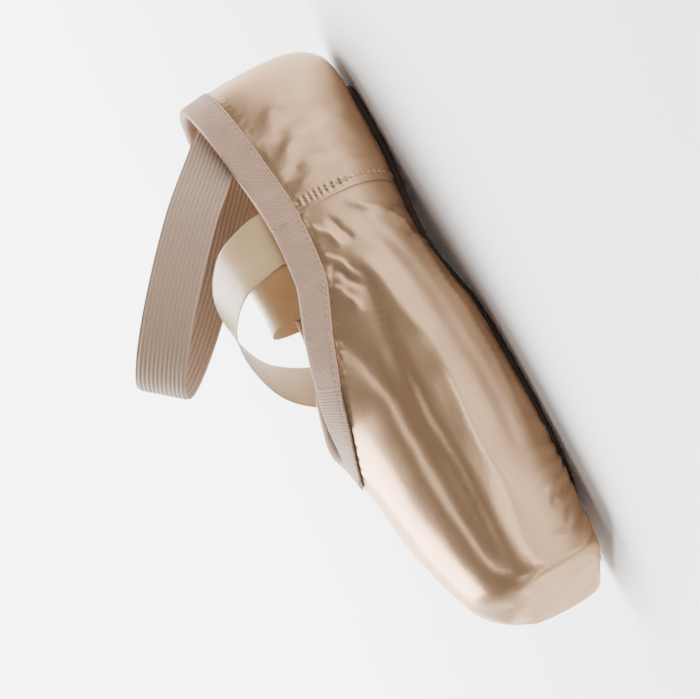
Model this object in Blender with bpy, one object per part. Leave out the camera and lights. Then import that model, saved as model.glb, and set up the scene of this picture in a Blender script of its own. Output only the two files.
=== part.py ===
"""A satin pointe shoe, standing empty and unbent on its sole.

The toe points along +X, the shoe's left side is +Y and up is +Z. Lengths are in metres. The origin is on
the floor, midway between the heel back and the platform. One surface function, worked out from a short
table of sections, gives every form of the upper: its outside, its inside and the layers that lie on it.
"""
import math

import bmesh
import bpy
from mathutils import Vector

# Main sizes of the last and the upper
LENGTH = 0.232
BALL_WIDTH = 0.088
HEEL_ROUND = 0.030
INSTEP_HEIGHT = 0.0667
HEEL_HEIGHT = 0.0593
WIDEST_HEIGHT = 0.022
ARCH_RISE = 0.0035
TOE_SPRING = 0.0022
VAMP_LENGTH = 0.078
THROAT_LENGTH = 0.036
THROAT_TAPER = 0.75
THROAT_FULLNESS = 0.52
QUARTER_WALL = 0.0014
BOX_WALL = 0.0026
CLEARANCE = 0.0003

# Platform, where the shoe ends at the toe
CROWN_ROUND = 0.012
CROWN_DROP = 0.014
EDGE_ROUND = 0.003
EDGE_DROP = 0.0027

# Sole and insole
SOLE_LENGTH = 0.184
SOLE_WIDTH = 0.056
SOLE_THICKNESS = 0.0025
SOLE_EDGE_ROUND = 0.0006
HEEL_MARGIN = 0.022
LASTING_MARGIN = 0.007
INSOLE_THICKNESS = 0.0012
INSOLE_LENGTH = 0.200
INSOLE_HEEL_MARGIN = 0.013
INSOLE_TOE_ROUND = 0.027
INSOLE_BLUNTNESS = 0.02

# Seam, binding and heel strip
SEAM_PLACE = 0.0745
SEAM_BOW = 0.0025
SEAM_SPREAD = 0.015
QUARTER_STEP = 0.0005
STEP_RUN = 0.0004
BINDING_WIDTH = 0.0105
BINDING_THICKNESS = 0.0009
THROAT_ELASTIC_LENGTH = 0.020
STRIP_WIDTH = 0.0154
STRIP_THICKNESS = 0.0008

# Ankle elastic and ribbons
ELASTIC_WIDTH = 0.019
ELASTIC_THICKNESS = 0.0012
ELASTIC_LEAN = math.radians(40)
ELASTIC_PLACE = 0.030
ELASTIC_SEWN = 0.014
ELASTIC_REACH = 0.088
ELASTIC_HALF_GAP = 0.030
ELASTIC_ARCH = 0.054
ELASTIC_TUCK = 0.22
ELASTIC_TWIST = 0.3
ELASTIC_UPRIGHT = 0.62
ELASTIC_STEPS = 12
RIBBON_WIDTH = 0.022
RIBBON_THICKNESS = 0.0006
RIBBON_STEP = 0.0055

# Sections of the last. along: share of LENGTH from the heel back. wide: share of BALL_WIDTH.
# crest: share of INSTEP_HEIGHT, imagined closed over the collar. seat: flat part under the foot, as a
# share of the section's width. shoulder: roundness over the top, 2 for an ellipse and more for squarer.
SECTION_COLUMNS = ("along", "wide", "crest", "seat", "shoulder")
SECTIONS = (
    (0.129, 0.682, 1.50, 0.63, 2.0),
    (0.237, 0.718, 1.50, 0.58, 2.0),
    (0.323, 0.759, 1.45, 0.56, 2.0),
    (0.414, 0.832, 1.35, 0.54, 2.0),
    (0.487, 0.914, 1.245, 0.56, 2.0),
    (0.552, 0.975, 1.155, 0.62, 2.0),
    (0.608, 1.000, 1.075, 0.67, 2.05),
    (0.664, 0.996, 1.000, 0.69, 2.1),
    (0.733, 0.955, 0.964, 0.70, 2.15),
    (0.832, 0.846, 0.912, 0.72, 2.25),
    (0.914, 0.741, 0.840, 0.72, 2.4),
    (1.000, 0.623, 0.727, 0.68, 2.6),
)

# Rise of the underside. along: share of LENGTH. arch: share of ARCH_RISE. spring: share of TOE_SPRING.
RISE_COLUMNS = ("along", "arch", "spring")
RISES = (
    (0.000, 0.0, 0.0),
    (0.240, 0.0, 0.0),
    (0.320, 0.55, 0.0),
    (0.410, 1.0, 0.0),
    (0.500, 0.45, 0.0),
    (0.570, 0.0, 0.0),
    (0.820, 0.0, 0.0),
    (0.890, 0.0, 0.30),
    (1.000, 0.0, 1.0),
)

# Topline from the heel to the throat. along: share of LENGTH. height: share of HEEL_HEIGHT.
TOPLINE_COLUMNS = ("along", "height")
TOPLINE = (
    (0.000, 1.000),
    (0.065, 0.985),
    (0.190, 0.930),
    (0.310, 0.897),
    (0.410, 0.925),
    (0.487, 1.015),
    (0.508, 1.045),
)

# Outline of the outsole. along: share of SOLE_LENGTH from its heel end. wide: share of SOLE_WIDTH.
SOLE_COLUMNS = ("along", "wide")
SOLE_OUTLINE = (
    (0.000, 0.10),
    (0.010, 0.33),
    (0.037, 0.56),
    (0.086, 0.66),
    (0.200, 0.643),
    (0.340, 0.622),
    (0.430, 0.643),
    (0.505, 0.732),
    (0.577, 0.857),
    (0.649, 0.960),
    (0.730, 1.000),
    (0.802, 0.975),
    (0.874, 0.865),
    (0.920, 0.735),
    (0.960, 0.545),
    (0.988, 0.30),
    (1.000, 0.10),
)

# Routes of the ribbons. along: share of LENGTH from the heel back. side: share of BALL_WIDTH. height:
# share of HEEL_HEIGHT. heading: the way they run, seen from above, in degrees. Their places are chosen by
# hand: sewn inside the quarter, over the far side, then laid on the floor.
RIBBON_COLUMNS = ("along", "side", "height", "heading")
RIBBON_RIGHT_ROUTE = (
    (0.3190, -0.3045, 0.6745, -90),
    (0.3190, -0.2977, 0.8432, -90),
    (0.3185, -0.2977, 0.9865, -90),
    (0.3168, -0.3455, 1.0793, -90),
    (0.3142, -0.4170, 1.0624, -90),
    (0.3112, -0.4659, 0.9191, -90),
    (0.3086, -0.4830, 0.6745, -90),
    (0.3060, -0.5000, 0.4047, -92),
    (0.3017, -0.5568, 0.1349, -95),
    (0.2888, -0.7273, 0.0202, -102),
    (0.2328, -1.1591, 0.0169, -112),
    (0.1509, -1.6136, 0.0169, -110),
    (0.0991, -2.1364, 0.0169, -100),
    (0.0647, -2.6932, 0.0169, -104),
    (-0.0129, -3.2159, 0.0169, -114),
    (-0.1121, -3.7386, 0.0169, -114),
    (-0.1767, -4.2955, 0.0169, -102),
    (-0.2112, -4.8409, 0.0169, -102),
    (-0.2672, -5.3295, 0.0169, -112),
)
RIBBON_LEFT_ROUTE = (
    (0.3190, 0.3045, 0.6745, -90),
    (0.3190, 0.2977, 0.8432, -90),
    (0.3216, 0.2864, 1.0118, -88),
    (0.3341, 0.2045, 1.2310, -82),
    (0.3578, 0.0114, 1.3491, -76),
    (0.3922, -0.2045, 1.3238, -70),
    (0.4310, -0.4091, 1.1804, -70),
    (0.4547, -0.5568, 0.8769, -76),
    (0.4655, -0.6136, 0.5059, -84),
    (0.4698, -0.6818, 0.1686, -90),
    (0.4677, -0.8523, 0.0219, -98),
    (0.4267, -1.2841, 0.0169, -108),
    (0.3578, -1.7500, 0.0169, -112),
    (0.2759, -2.2614, 0.0169, -108),
    (0.2241, -2.8068, 0.0169, -100),
    (0.1897, -3.3523, 0.0169, -102),
    (0.1164, -3.8750, 0.0169, -114),
    (0.0129, -4.3750, 0.0169, -116),
    (-0.0647, -4.9091, 0.0169, -106),
)

# Fineness of the forms
SEAT_SHARE = 0.12
WIDEST_SHARE = 0.42
SEAT_STEPS = 2
LOWER_STEPS = 5
UPPER_STEPS = 10
STATION_STEP = 0.0092
FAN_STEPS = 9
THROAT_STEPS = 9
RIM_STEPS = 22
SLAB_STEPS = 32
WALK_STEPS = 6
FENCE_DEPTH = 0.006
FENCE_HEIGHT = 0.125
SMALL = 0.00002
PROBE = 0.0001

FAN_LENGTH = HEEL_ROUND * math.pi / 2
MIDDLE = (LENGTH - CLEARANCE - STRIP_THICKNESS - QUARTER_STEP) / 2


def smooth_step(share):
    share = min(1.0, max(0.0, share))
    return share * share * (3 - 2 * share)


def curve(rows, columns, name, at):
    """Value of a named column at a place along a table, as a smooth curve that never overshoots."""
    pick = columns.index(name)
    places = [row[0] for row in rows]
    values = [row[pick] for row in rows]
    if at <= places[0]:
        return values[0]
    if at >= places[-1]:
        return values[-1]
    spans = [b - a for a, b in zip(places, places[1:])]
    rises = [(b - a) / span for a, b, span in zip(values, values[1:], spans)]
    slopes = [rises[0]]
    for before, after in zip(rises, rises[1:]):
        slopes.append(2 * before * after / (before + after) if before * after > 0 else 0.0)
    slopes.append(rises[-1])
    index = max(i for i, place in enumerate(places[:-1]) if place <= at)
    share = (at - places[index]) / spans[index]
    low, high = values[index], values[index + 1]
    start, end = slopes[index] * spans[index], slopes[index + 1] * spans[index]
    square, cube = share ** 2, share ** 3
    return (low * (2 * cube - 3 * square + 1) + start * (cube - 2 * square + share)
            + high * (3 * square - 2 * cube) + end * (cube - square))


def section(name, x):
    return curve(SECTIONS, SECTION_COLUMNS, name, x / LENGTH)


def rise(x):
    """Height of the sole's underside over the floor."""
    arch = curve(RISES, RISE_COLUMNS, "arch", x / LENGTH)
    spring = curve(RISES, RISE_COLUMNS, "spring", x / LENGTH)
    return ARCH_RISE * arch + TOE_SPRING * spring


def rounding(x, radius):
    """Quarter round at the platform: 0 behind it, 1 at the toe end."""
    share = min(1.0, max(0.0, (x - LENGTH + radius) / radius))
    return 1 - math.sqrt(1 - share * share)


def half_width(x):
    return BALL_WIDTH * section("wide", x) / 2 - EDGE_DROP * rounding(x, EDGE_ROUND)


def crest_height(x):
    return INSTEP_HEIGHT * section("crest", x) - CROWN_DROP * rounding(x, CROWN_ROUND)


def seat_height(x):
    return SOLE_THICKNESS + CLEARANCE + rise(x) + EDGE_DROP * rounding(x, EDGE_ROUND)


def wall(x):
    """Wall thickness: thin at the quarters, thick in the stiffened box."""
    box = smooth_step((x - (LENGTH - VAMP_LENGTH - 0.5 * THROAT_LENGTH)) / THROAT_LENGTH)
    return QUARTER_WALL + (BOX_WALL - QUARTER_WALL) * box


def quarter_step(x, v):
    """How far the rear quarter stands out from the vamp, fading to nothing under the shoe."""
    behind = min(1.0, max(0.0, (SEAM_PLACE + STEP_RUN - x) / STEP_RUN))
    return QUARTER_STEP * behind * smooth_step(2 * (v - SEAT_SHARE) / (WIDEST_SHARE - SEAT_SHARE))


def surface(u, v, out=0.0, inside=False):
    """A point of the last's form.

    u runs around the plan, in metres from the heel back, + to the left and - to the right. v runs up from
    the middle of the seat, 0, to the crest, 1. out moves it out from the upper's outer face, or in from
    its inner face.
    """
    around = abs(u)
    side = 1 if u >= 0 else -1
    x = max(HEEL_ROUND, HEEL_ROUND + around - FAN_LENGTH)
    grow = -(wall(x) + out) if inside else out
    wide = half_width(x) + grow + (0 if inside else quarter_step(x, v))
    low = seat_height(x) - grow
    crest = crest_height(x) + grow
    seat = section("seat", x)
    if v < SEAT_SHARE:
        share, z = seat * v / SEAT_SHARE, low
    elif v < WIDEST_SHARE:
        turn = (v - SEAT_SHARE) / (WIDEST_SHARE - SEAT_SHARE) * math.pi / 2
        share = seat + (1 - seat) * math.sin(turn)
        z = WIDEST_HEIGHT - (WIDEST_HEIGHT - low) * math.cos(turn)
    else:
        turn = (v - WIDEST_SHARE) / (1 - WIDEST_SHARE) * math.pi / 2
        power = 2 / section("shoulder", x)
        share = max(0.0, math.cos(turn)) ** power
        z = WIDEST_HEIGHT + (crest - WIDEST_HEIGHT) * math.sin(turn) ** power
    if around < FAN_LENGTH:
        turn = around / FAN_LENGTH * math.pi / 2
        reach = (HEEL_ROUND + wide - half_width(HEEL_ROUND)) * math.cos(turn)
        return Vector((HEEL_ROUND - reach * share - MIDDLE, side * wide * math.sin(turn) * share, z))
    height_share = min(1.0, max(0.0, z / HEEL_HEIGHT))
    near_seam = math.exp(-((x - SEAM_PLACE) / SEAM_SPREAD) ** 2)
    bow = SEAM_BOW * math.sin(math.pi * height_share) * near_seam
    toe = smooth_step((x - LENGTH + HEEL_ROUND) / HEEL_ROUND)
    return Vector((x - bow + grow * toe - MIDDLE, side * wide * share, z))


def walk(u, v, heading, distance):
    """Parameters of the point reached by going a distance over the surface, along a heading."""
    step = distance / WALK_STEPS
    for _ in range(WALK_STEPS):
        along = (surface(u + PROBE, v) - surface(u - PROBE, v)) / (2 * PROBE)
        up = (surface(u, v) - surface(u, v - PROBE)) / PROBE
        aa, ab, bb = along.dot(along), along.dot(up), up.dot(up)
        ha, hb = heading.dot(along), heading.dot(up)
        whole = aa * bb - ab * ab
        du = (ha * bb - hb * ab) / whole
        dv = (hb * aa - ha * ab) / whole
        length = (along * du + up * dv).length
        u += du * step / length
        v = min(1.0, v + dv * step / length)
    return u, v


def finished(name, shape, collection):
    """The object of a closed shape, with its faces pointing out."""
    bmesh.ops.remove_doubles(shape, verts=shape.verts, dist=SMALL / 2)
    bmesh.ops.recalc_face_normals(shape, faces=shape.faces)
    mesh = bpy.data.meshes.new(name)
    shape.to_mesh(mesh)
    shape.free()
    found = bpy.data.objects.new(name, mesh)
    collection.objects.link(found)
    return found


def tube(name, rings, collection):
    """A closed skin through rings of equal length, with flat ends.

    The two halves of a ring are split along the same lines, so that a thin twisted band keeps its wall.
    """
    shape = bmesh.new()
    rows = [[shape.verts.new(point) for point in ring] for ring in rings]
    count = len(rows[0])
    for here, there in zip(rows, rows[1:]):
        for i in range(count):
            j = (i + 1) % count
            low, high = (here, there) if i < count // 2 else (there, here)
            shape.faces.new((low[i], high[j], high[i]))
            shape.faces.new((high[j], low[i], low[j]))
    shape.faces.new(rows[0])
    shape.faces.new(list(reversed(rows[-1])))
    return finished(name, shape, collection)


def stations():
    """Places of the ribs around the plan: close at the toe's edges, even between, and both seam lines."""
    places = [LENGTH - EDGE_ROUND + EDGE_ROUND * math.sin(math.radians(turn)) for turn in (90, 55, 25, 0)]
    places += [LENGTH - CROWN_ROUND + CROWN_ROUND * math.sin(math.radians(turn)) for turn in (32, 5)]
    first, seam_front = places[-1], SEAM_PLACE + STEP_RUN
    count = round((first - seam_front) / STATION_STEP)
    places += [first + (seam_front - first) * i / count for i in range(1, count + 1)]
    count = round((SEAM_PLACE - HEEL_ROUND) / STATION_STEP)
    places += [SEAM_PLACE + (HEEL_ROUND - SEAM_PLACE) * i / count for i in range(count + 1)]
    left = [FAN_LENGTH + x - HEEL_ROUND for x in places]
    fan = [FAN_LENGTH * (1 - i / FAN_STEPS) for i in range(1, FAN_STEPS + 1)]
    half = left + fan
    return half + [-u for u in reversed(half[:-1])]


def rib_shares():
    seat = [SEAT_SHARE * i / SEAT_STEPS for i in range(SEAT_STEPS)]
    lower = [SEAT_SHARE + (WIDEST_SHARE - SEAT_SHARE) * i / LOWER_STEPS for i in range(LOWER_STEPS)]
    upper = [WIDEST_SHARE + (1 - WIDEST_SHARE) * i / UPPER_STEPS for i in range(UPPER_STEPS + 1)]
    return seat + lower + upper


def form(name, collection, out=0.0, inside=False):
    """The whole last as one closed skin, at a distance from the upper's outer or inner face."""
    shape = bmesh.new()
    ribs = []
    for u in stations():
        ribs.append([shape.verts.new(surface(u, v, out, inside)) for v in rib_shares()])
    for here, there in zip(ribs, ribs[1:]):
        for i in range(len(here) - 1):
            shape.faces.new((here[i], here[i + 1], there[i + 1], there[i]))
    bmesh.ops.remove_doubles(shape, verts=shape.verts, dist=SMALL / 2)
    platform = [edge for edge in shape.edges if edge.is_boundary]
    bmesh.ops.holes_fill(shape, edges=platform, sides=0)
    return finished(name, shape, collection)


def topline_share(x):
    """Where the topline crosses the section at x, as v."""
    height = HEEL_HEIGHT * curve(TOPLINE, TOPLINE_COLUMNS, "height", x / LENGTH)
    rib_x = max(HEEL_ROUND, x)
    share = (height - WIDEST_HEIGHT) / (crest_height(rib_x) - WIDEST_HEIGHT)
    turn = math.asin(share ** (section("shoulder", rib_x) / 2))
    return WIDEST_SHARE + (1 - WIDEST_SHARE) * turn / (math.pi / 2)


def topline():
    """The collar's edge on the left, as (u, v), from the throat's tip round to the heel back."""
    tip = LENGTH - VAMP_LENGTH
    start = tip - THROAT_LENGTH
    start_turn = (topline_share(start) - WIDEST_SHARE) / (1 - WIDEST_SHARE) * math.pi / 2
    gap = half_width(start) * math.cos(start_turn) ** (2 / section("shoulder", start))
    points = []
    for i in range(THROAT_STEPS):
        turn = math.pi / 2 * (1 - i / THROAT_STEPS)
        x = start + THROAT_LENGTH * math.sin(turn)
        y = gap * (1 - math.sin(turn)) ** THROAT_TAPER * (1 + THROAT_FULLNESS * math.sin(turn))
        rib_turn = math.acos((y / half_width(x)) ** (section("shoulder", x) / 2))
        points.append((FAN_LENGTH + x - HEEL_ROUND,
                       WIDEST_SHARE + (1 - WIDEST_SHARE) * rib_turn / (math.pi / 2)))
    start_u = FAN_LENGTH + start - HEEL_ROUND
    for i in range(RIM_STEPS + 1):
        u = start_u * (1 - i / RIM_STEPS)
        x = HEEL_ROUND + u - FAN_LENGTH
        if u < FAN_LENGTH:
            x = HEEL_ROUND * (1 - math.cos(u / FAN_LENGTH * math.pi / 2))
        points.append((u, topline_share(x)))
    return points


def away_from_collar(edge, index):
    """Unit heading over the surface, square to the collar's edge and away from the opening."""
    here = surface(*edge[index])
    if index == 0:
        return (surface(edge[0][0] + SMALL, 1.0) - here).normalized()
    if index == len(edge) - 1:
        return (surface(0.0, edge[index][1] - SMALL) - here).normalized()
    tangent = (surface(*edge[index + 1]) - surface(*edge[index - 1])).normalized()
    return tangent.cross(outward(*edge[index])).normalized()


def outward(u, v):
    """Unit normal of the form, pointing out of it."""
    along = surface(u + PROBE, v) - surface(u - PROBE, v)
    up = surface(u, v) - surface(u, v - PROBE)
    found = along.cross(up).normalized()
    middle = Vector((min(surface(u, v).x, LENGTH - MIDDLE - HEEL_ROUND), 0, WIDEST_HEIGHT))
    middle.x = max(middle.x, HEEL_ROUND - MIDDLE)
    return found if found.dot(surface(u, v) - middle) > 0 else -found


def collar_solid(name, collection, distance):
    """Everything over the line that runs a distance below the collar's edge, cut square to the form."""
    edge = topline()
    inner, outer = [], []
    for index, (u, v) in enumerate(edge):
        place = walk(u, v, away_from_collar(edge, index), distance) if distance else (u, v)
        point, out = surface(*place), outward(*place)
        if index in (0, len(edge) - 1):
            point.y = out.y = 0.0
        inner.append(point - out * FENCE_DEPTH)
        outer.append(point + out * FENCE_DEPTH)
    lifted = [Vector((point.x, point.y, FENCE_HEIGHT)) for point in outer]
    shape = bmesh.new()

    def ring(points):
        left = [shape.verts.new(point) for point in points]
        right = [shape.verts.new((point.x, -point.y, point.z)) for point in points[1:-1]]
        return left, right

    rings = [ring(points) for points in (inner, outer, lifted)]
    loops = [left + list(reversed(right)) for left, right in rings]
    for here, there in zip(loops, loops[1:]):
        for i in range(len(here)):
            j = (i + 1) % len(here)
            shape.faces.new((here[i], here[j], there[j], there[i]))
    for left, right in (rings[0], rings[-1]):
        shape.faces.new((left[0], left[1], right[0]))
        shape.faces.new((left[-1], left[-2], right[-1]))
        for i in range(len(right) - 1):
            shape.faces.new((left[i + 1], left[i + 2], right[i + 1], right[i]))
    return finished(name, shape, collection)


def cut(target, cutter, operation="DIFFERENCE"):
    """Cut one skin by another. They run so close together that the exact solver leaves slivers."""
    modifier = target.modifiers.new(cutter.name, "BOOLEAN")
    modifier.operation = operation
    modifier.object = cutter
    modifier.solver = "MANIFOLD"


def block(name, collection, low, high):
    """A box between two corners, given from the heel back."""
    bpy.ops.mesh.primitive_cube_add(size=1)
    found = bpy.context.object
    found.name = name
    for holder in list(found.users_collection):
        holder.objects.unlink(found)
    collection.objects.link(found)
    for vertex in found.data.vertices:
        share = [0.5 + value for value in vertex.co]
        vertex.co = [a + (b - a) * s for a, b, s in zip(low, high, share)]
        vertex.co.x -= MIDDLE
    return found


def sole_half_width(x):
    return SOLE_WIDTH * curve(SOLE_OUTLINE, SOLE_COLUMNS, "wide", (x - HEEL_MARGIN) / SOLE_LENGTH) / 2


def slab(name, collection, places, half, bottom, top, edge_round):
    """A flat piece that follows the seat: half its width, its underside and its top at each x."""
    rings = []
    for x in places:
        y, low, high = half(x), bottom(x), top(x)
        turned = min(edge_round, y / 3)
        row = [(-y + turned, low), (y - turned, low), (y, low + turned), (y, high - turned),
               (y - turned, high), (-y + turned, high), (-y, high - turned), (-y, low + turned)]
        rings.append([Vector((x - MIDDLE, across, z)) for across, z in row])
    return tube(name, rings, collection)


def end_spaced(first, length):
    """Places from end to end, close together at both round ends."""
    turns = [math.pi * i / SLAB_STEPS for i in range(SLAB_STEPS + 1)]
    return [first + length * (1 - math.cos(turn)) / 2 for turn in turns]


def make_upper(parts, cutters):
    upper = form("upper", parts)
    cut(upper, form("upper_hollow", cutters, inside=True))
    cut(upper, collar_solid("collar_opening", cutters, 0.0))
    opening = slab("sole_opening", cutters,
                   end_spaced(HEEL_MARGIN + LASTING_MARGIN, SOLE_LENGTH - 2 * LASTING_MARGIN),
                   lambda x: max(PROBE, sole_half_width(x) - LASTING_MARGIN),
                   lambda x: -SOLE_THICKNESS,
                   lambda x: seat_height(x) + 2 * BOX_WALL, 0.0)
    cut(upper, opening)
    return upper


def make_outsole(parts):
    return slab("outsole", parts, end_spaced(HEEL_MARGIN, SOLE_LENGTH), sole_half_width,
                rise, lambda x: rise(x) + SOLE_THICKNESS, SOLE_EDGE_ROUND)


def make_insole(parts):
    last = INSOLE_HEEL_MARGIN + INSOLE_LENGTH
    heel_round = HEEL_ROUND - INSOLE_HEEL_MARGIN

    def half(x):
        seat = surface(FAN_LENGTH + max(0.0, x - HEEL_ROUND), SEAT_SHARE, CLEARANCE, inside=True).y
        past = max((HEEL_ROUND - x) / heel_round, 1 - (last - x) / INSOLE_TOE_ROUND, 0.0)
        return seat * math.sqrt(max(INSOLE_BLUNTNESS, 1 - past ** 2))

    def low(x):
        return seat_height(x) + wall(x) + CLEARANCE

    return slab("insole", parts, end_spaced(INSOLE_HEEL_MARGIN, INSOLE_LENGTH), half, low,
                lambda x: low(x) + INSOLE_THICKNESS, INSOLE_THICKNESS / 4)


def make_casing(name, parts, cutters, first, last):
    """A length of the casing folded over the topline, between two places from the heel back."""
    casing = form(name, parts, CLEARANCE + BINDING_THICKNESS)
    cut(casing, form(name + "_inside", cutters, CLEARANCE + BINDING_THICKNESS, inside=True))
    cut(casing, collar_solid(name + "_band", cutters, BINDING_WIDTH), "INTERSECT")
    cut(casing, collar_solid(name + "_rim", cutters, -CLEARANCE - BINDING_THICKNESS))
    slot = form(name + "_slot", cutters, CLEARANCE)
    cut(slot, form(name + "_slot_inside", cutters, CLEARANCE, inside=True))
    cut(slot, collar_solid(name + "_slot_rim", cutters, -CLEARANCE))
    cut(casing, slot)
    stretch = block(name + "_stretch", cutters, (first, -BALL_WIDTH, 0), (last, BALL_WIDTH, FENCE_HEIGHT))
    cut(casing, stretch, "INTERSECT")
    return casing


def make_heel_strip(parts, cutters):
    strip = form("heel_strip", parts, CLEARANCE + STRIP_THICKNESS)
    cut(strip, form("heel_strip_inside", cutters, CLEARANCE))
    reach = block("heel_strip_reach", cutters, (-HEEL_ROUND, -STRIP_WIDTH / 2, -SOLE_THICKNESS),
                  (HEEL_MARGIN - CLEARANCE, STRIP_WIDTH / 2, FENCE_HEIGHT))
    cut(strip, reach, "INTERSECT")
    cut(strip, collar_solid("heel_strip_top", cutters, BINDING_WIDTH + CLEARANCE))
    return strip


def band(name, collection, centres, across, width, thickness):
    """A flat strip along a route, with a rectangular section square to its way."""
    rings = []
    for i, centre in enumerate(centres):
        before, after = centres[max(0, i - 1)], centres[min(len(centres) - 1, i + 1)]
        tangent = (after - before).normalized()
        wide = (across[i] - tangent * across[i].dot(tangent)).normalized() * width / 2
        thick = tangent.cross(wide).normalized() * thickness / 2
        rings.append([centre - wide - thick, centre + wide - thick, centre + wide + thick,
                      centre - wide + thick])
    return tube(name, rings, collection)


def make_ankle_elastic(parts):
    """The elastic loop, sewn inside both quarters by the heel and leaning forward over the opening."""
    way = Vector((math.cos(ELASTIC_LEAN), 0, math.sin(ELASTIC_LEAN)))
    upright = Vector((-math.sin(ELASTIC_LEAN), 0, math.cos(ELASTIC_LEAN)))
    height = HEEL_HEIGHT * curve(TOPLINE, TOPLINE_COLUMNS, "height", ELASTIC_PLACE / LENGTH)
    start = Vector((ELASTIC_PLACE - MIDDLE, 0, height))
    inner_face = surface(FAN_LENGTH, topline_share(ELASTIC_PLACE), 2 * CLEARANCE + BINDING_THICKNESS, True)
    sewn_gap = inner_face.y - ELASTIC_THICKNESS - 2 * CLEARANCE
    straight = ELASTIC_REACH - ELASTIC_ARCH
    side = []
    for i in range(ELASTIC_STEPS):
        share = i / ELASTIC_STEPS
        distance = -ELASTIC_SEWN + (ELASTIC_SEWN + straight) * share
        spread = smooth_step(max(0.0, distance) / straight)
        gap = sewn_gap + (ELASTIC_HALF_GAP - sewn_gap) * spread + ELASTIC_TUCK * min(0.0, distance)
        side.append((distance, gap, ELASTIC_TWIST * (1 - smooth_step(share / ELASTIC_UPRIGHT))))
    for i in range(ELASTIC_STEPS):
        turn = math.pi / 2 * i / ELASTIC_STEPS
        side.append((straight + ELASTIC_ARCH * math.sin(turn), ELASTIC_HALF_GAP * math.cos(turn), 0.0))
    whole = [(1, *row) for row in side] + [(1, ELASTIC_REACH, 0.0, 0.0)] + [(-1, *row) for row in side[::-1]]
    centres = [start + way * distance + Vector((0, sign * gap, 0)) for sign, distance, gap, _ in whole]
    across = [upright + Vector((0, -sign * twist, 0)) for sign, _, _, twist in whole]
    return band("ankle_elastic", parts, centres, across, ELASTIC_WIDTH, ELASTIC_THICKNESS)


def smooth_point(places, index, share):
    """A point between two of a route's places, on the smooth curve through them all."""
    before, here = places[max(0, index - 1)], places[index]
    there, after = places[index + 1], places[min(len(places) - 1, index + 2)]
    return 0.5 * (2 * here + (there - before) * share
                  + (2 * before - 5 * here + 4 * there - after) * share ** 2
                  + (3 * here - before - 3 * there + after) * share ** 3)


def make_ribbon(name, parts, route):
    """A flat ribbon through its route's places, turned by its heading."""
    rows = [dict(zip(RIBBON_COLUMNS, row)) for row in route]
    places = [Vector((LENGTH * row["along"] - MIDDLE, BALL_WIDTH * row["side"], HEEL_HEIGHT * row["height"]))
              for row in rows]
    headings = [math.radians(row["heading"]) for row in rows]
    centres, turns = [], []
    for i in range(len(places) - 1):
        count = max(1, round((places[i + 1] - places[i]).length / RIBBON_STEP))
        for k in range(count):
            centres.append(smooth_point(places, i, k / count))
            turns.append(headings[i] + (headings[i + 1] - headings[i]) * k / count)
    centres.append(places[-1])
    turns.append(headings[-1])
    across = [Vector((-math.sin(turn), math.cos(turn), 0)) for turn in turns]
    return band(name, parts, centres, across, RIBBON_WIDTH, RIBBON_THICKNESS)


def paint(target, colour, roughness, sheen=0.0):
    material = bpy.data.materials.new(target.name + "_finish")
    material.use_nodes = True
    shader = material.node_tree.nodes["Principled BSDF"]
    shader.inputs["Base Color"].default_value = (*colour, 1)
    shader.inputs["Roughness"].default_value = roughness
    shader.inputs["Sheen Weight"].default_value = sheen
    target.data.materials.clear()
    target.data.materials.append(material)
    target.data.shade_smooth()
    target.data.set_sharp_from_angle(angle=math.radians(35))


def main():
    for old in list(bpy.data.objects):
        bpy.data.objects.remove(old, do_unlink=True)
    parts = bpy.data.collections.new("pointe_shoe")
    cutters = bpy.data.collections.new("cutters")
    bpy.context.scene.collection.children.link(parts)
    bpy.context.scene.collection.children.link(cutters)
    tip = LENGTH - VAMP_LENGTH
    join = tip - THROAT_ELASTIC_LENGTH
    upper = make_upper(parts, cutters)
    outsole = make_outsole(parts)
    insole = make_insole(parts)
    binding = make_casing("collar_binding", parts, cutters, -HEEL_ROUND, join - CLEARANCE / 2)
    elastic = make_casing("throat_elastic", parts, cutters, join + CLEARANCE / 2, LENGTH)
    strip = make_heel_strip(parts, cutters)
    loop = make_ankle_elastic(parts)
    left = make_ribbon("ribbon_left", parts, RIBBON_LEFT_ROUTE)
    right = make_ribbon("ribbon_right", parts, RIBBON_RIGHT_ROUTE)
    paint(upper, (0.55, 0.42, 0.31), 0.35, 0.3)
    paint(outsole, (0.14, 0.085, 0.05), 0.8)
    paint(insole, (0.55, 0.50, 0.42), 0.8)
    paint(binding, (0.49, 0.37, 0.28), 0.7, 0.2)
    paint(elastic, (0.46, 0.34, 0.26), 0.75, 0.2)
    paint(strip, (0.45, 0.35, 0.26), 0.55, 0.2)
    paint(loop, (0.38, 0.29, 0.21), 0.75, 0.2)
    paint(left, (0.46, 0.34, 0.21), 0.5, 0.2)
    paint(right, (0.46, 0.34, 0.21), 0.5, 0.2)
    for cutter in cutters.objects:
        cutter.hide_render = True
        cutter.display_type = "WIRE"


main()
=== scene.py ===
"""Looks of a satin pointe shoe that stands empty on its sole.

The sizes and the surface function repeat the part's, so every layer lies where its solid does. Lengths are
in metres, in the part's frame: the toe along +X, the shoe's left +Y and up +Z.
"""
import math

import bmesh
import bpy
import numpy as np
from mathutils import Matrix, Vector

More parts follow.
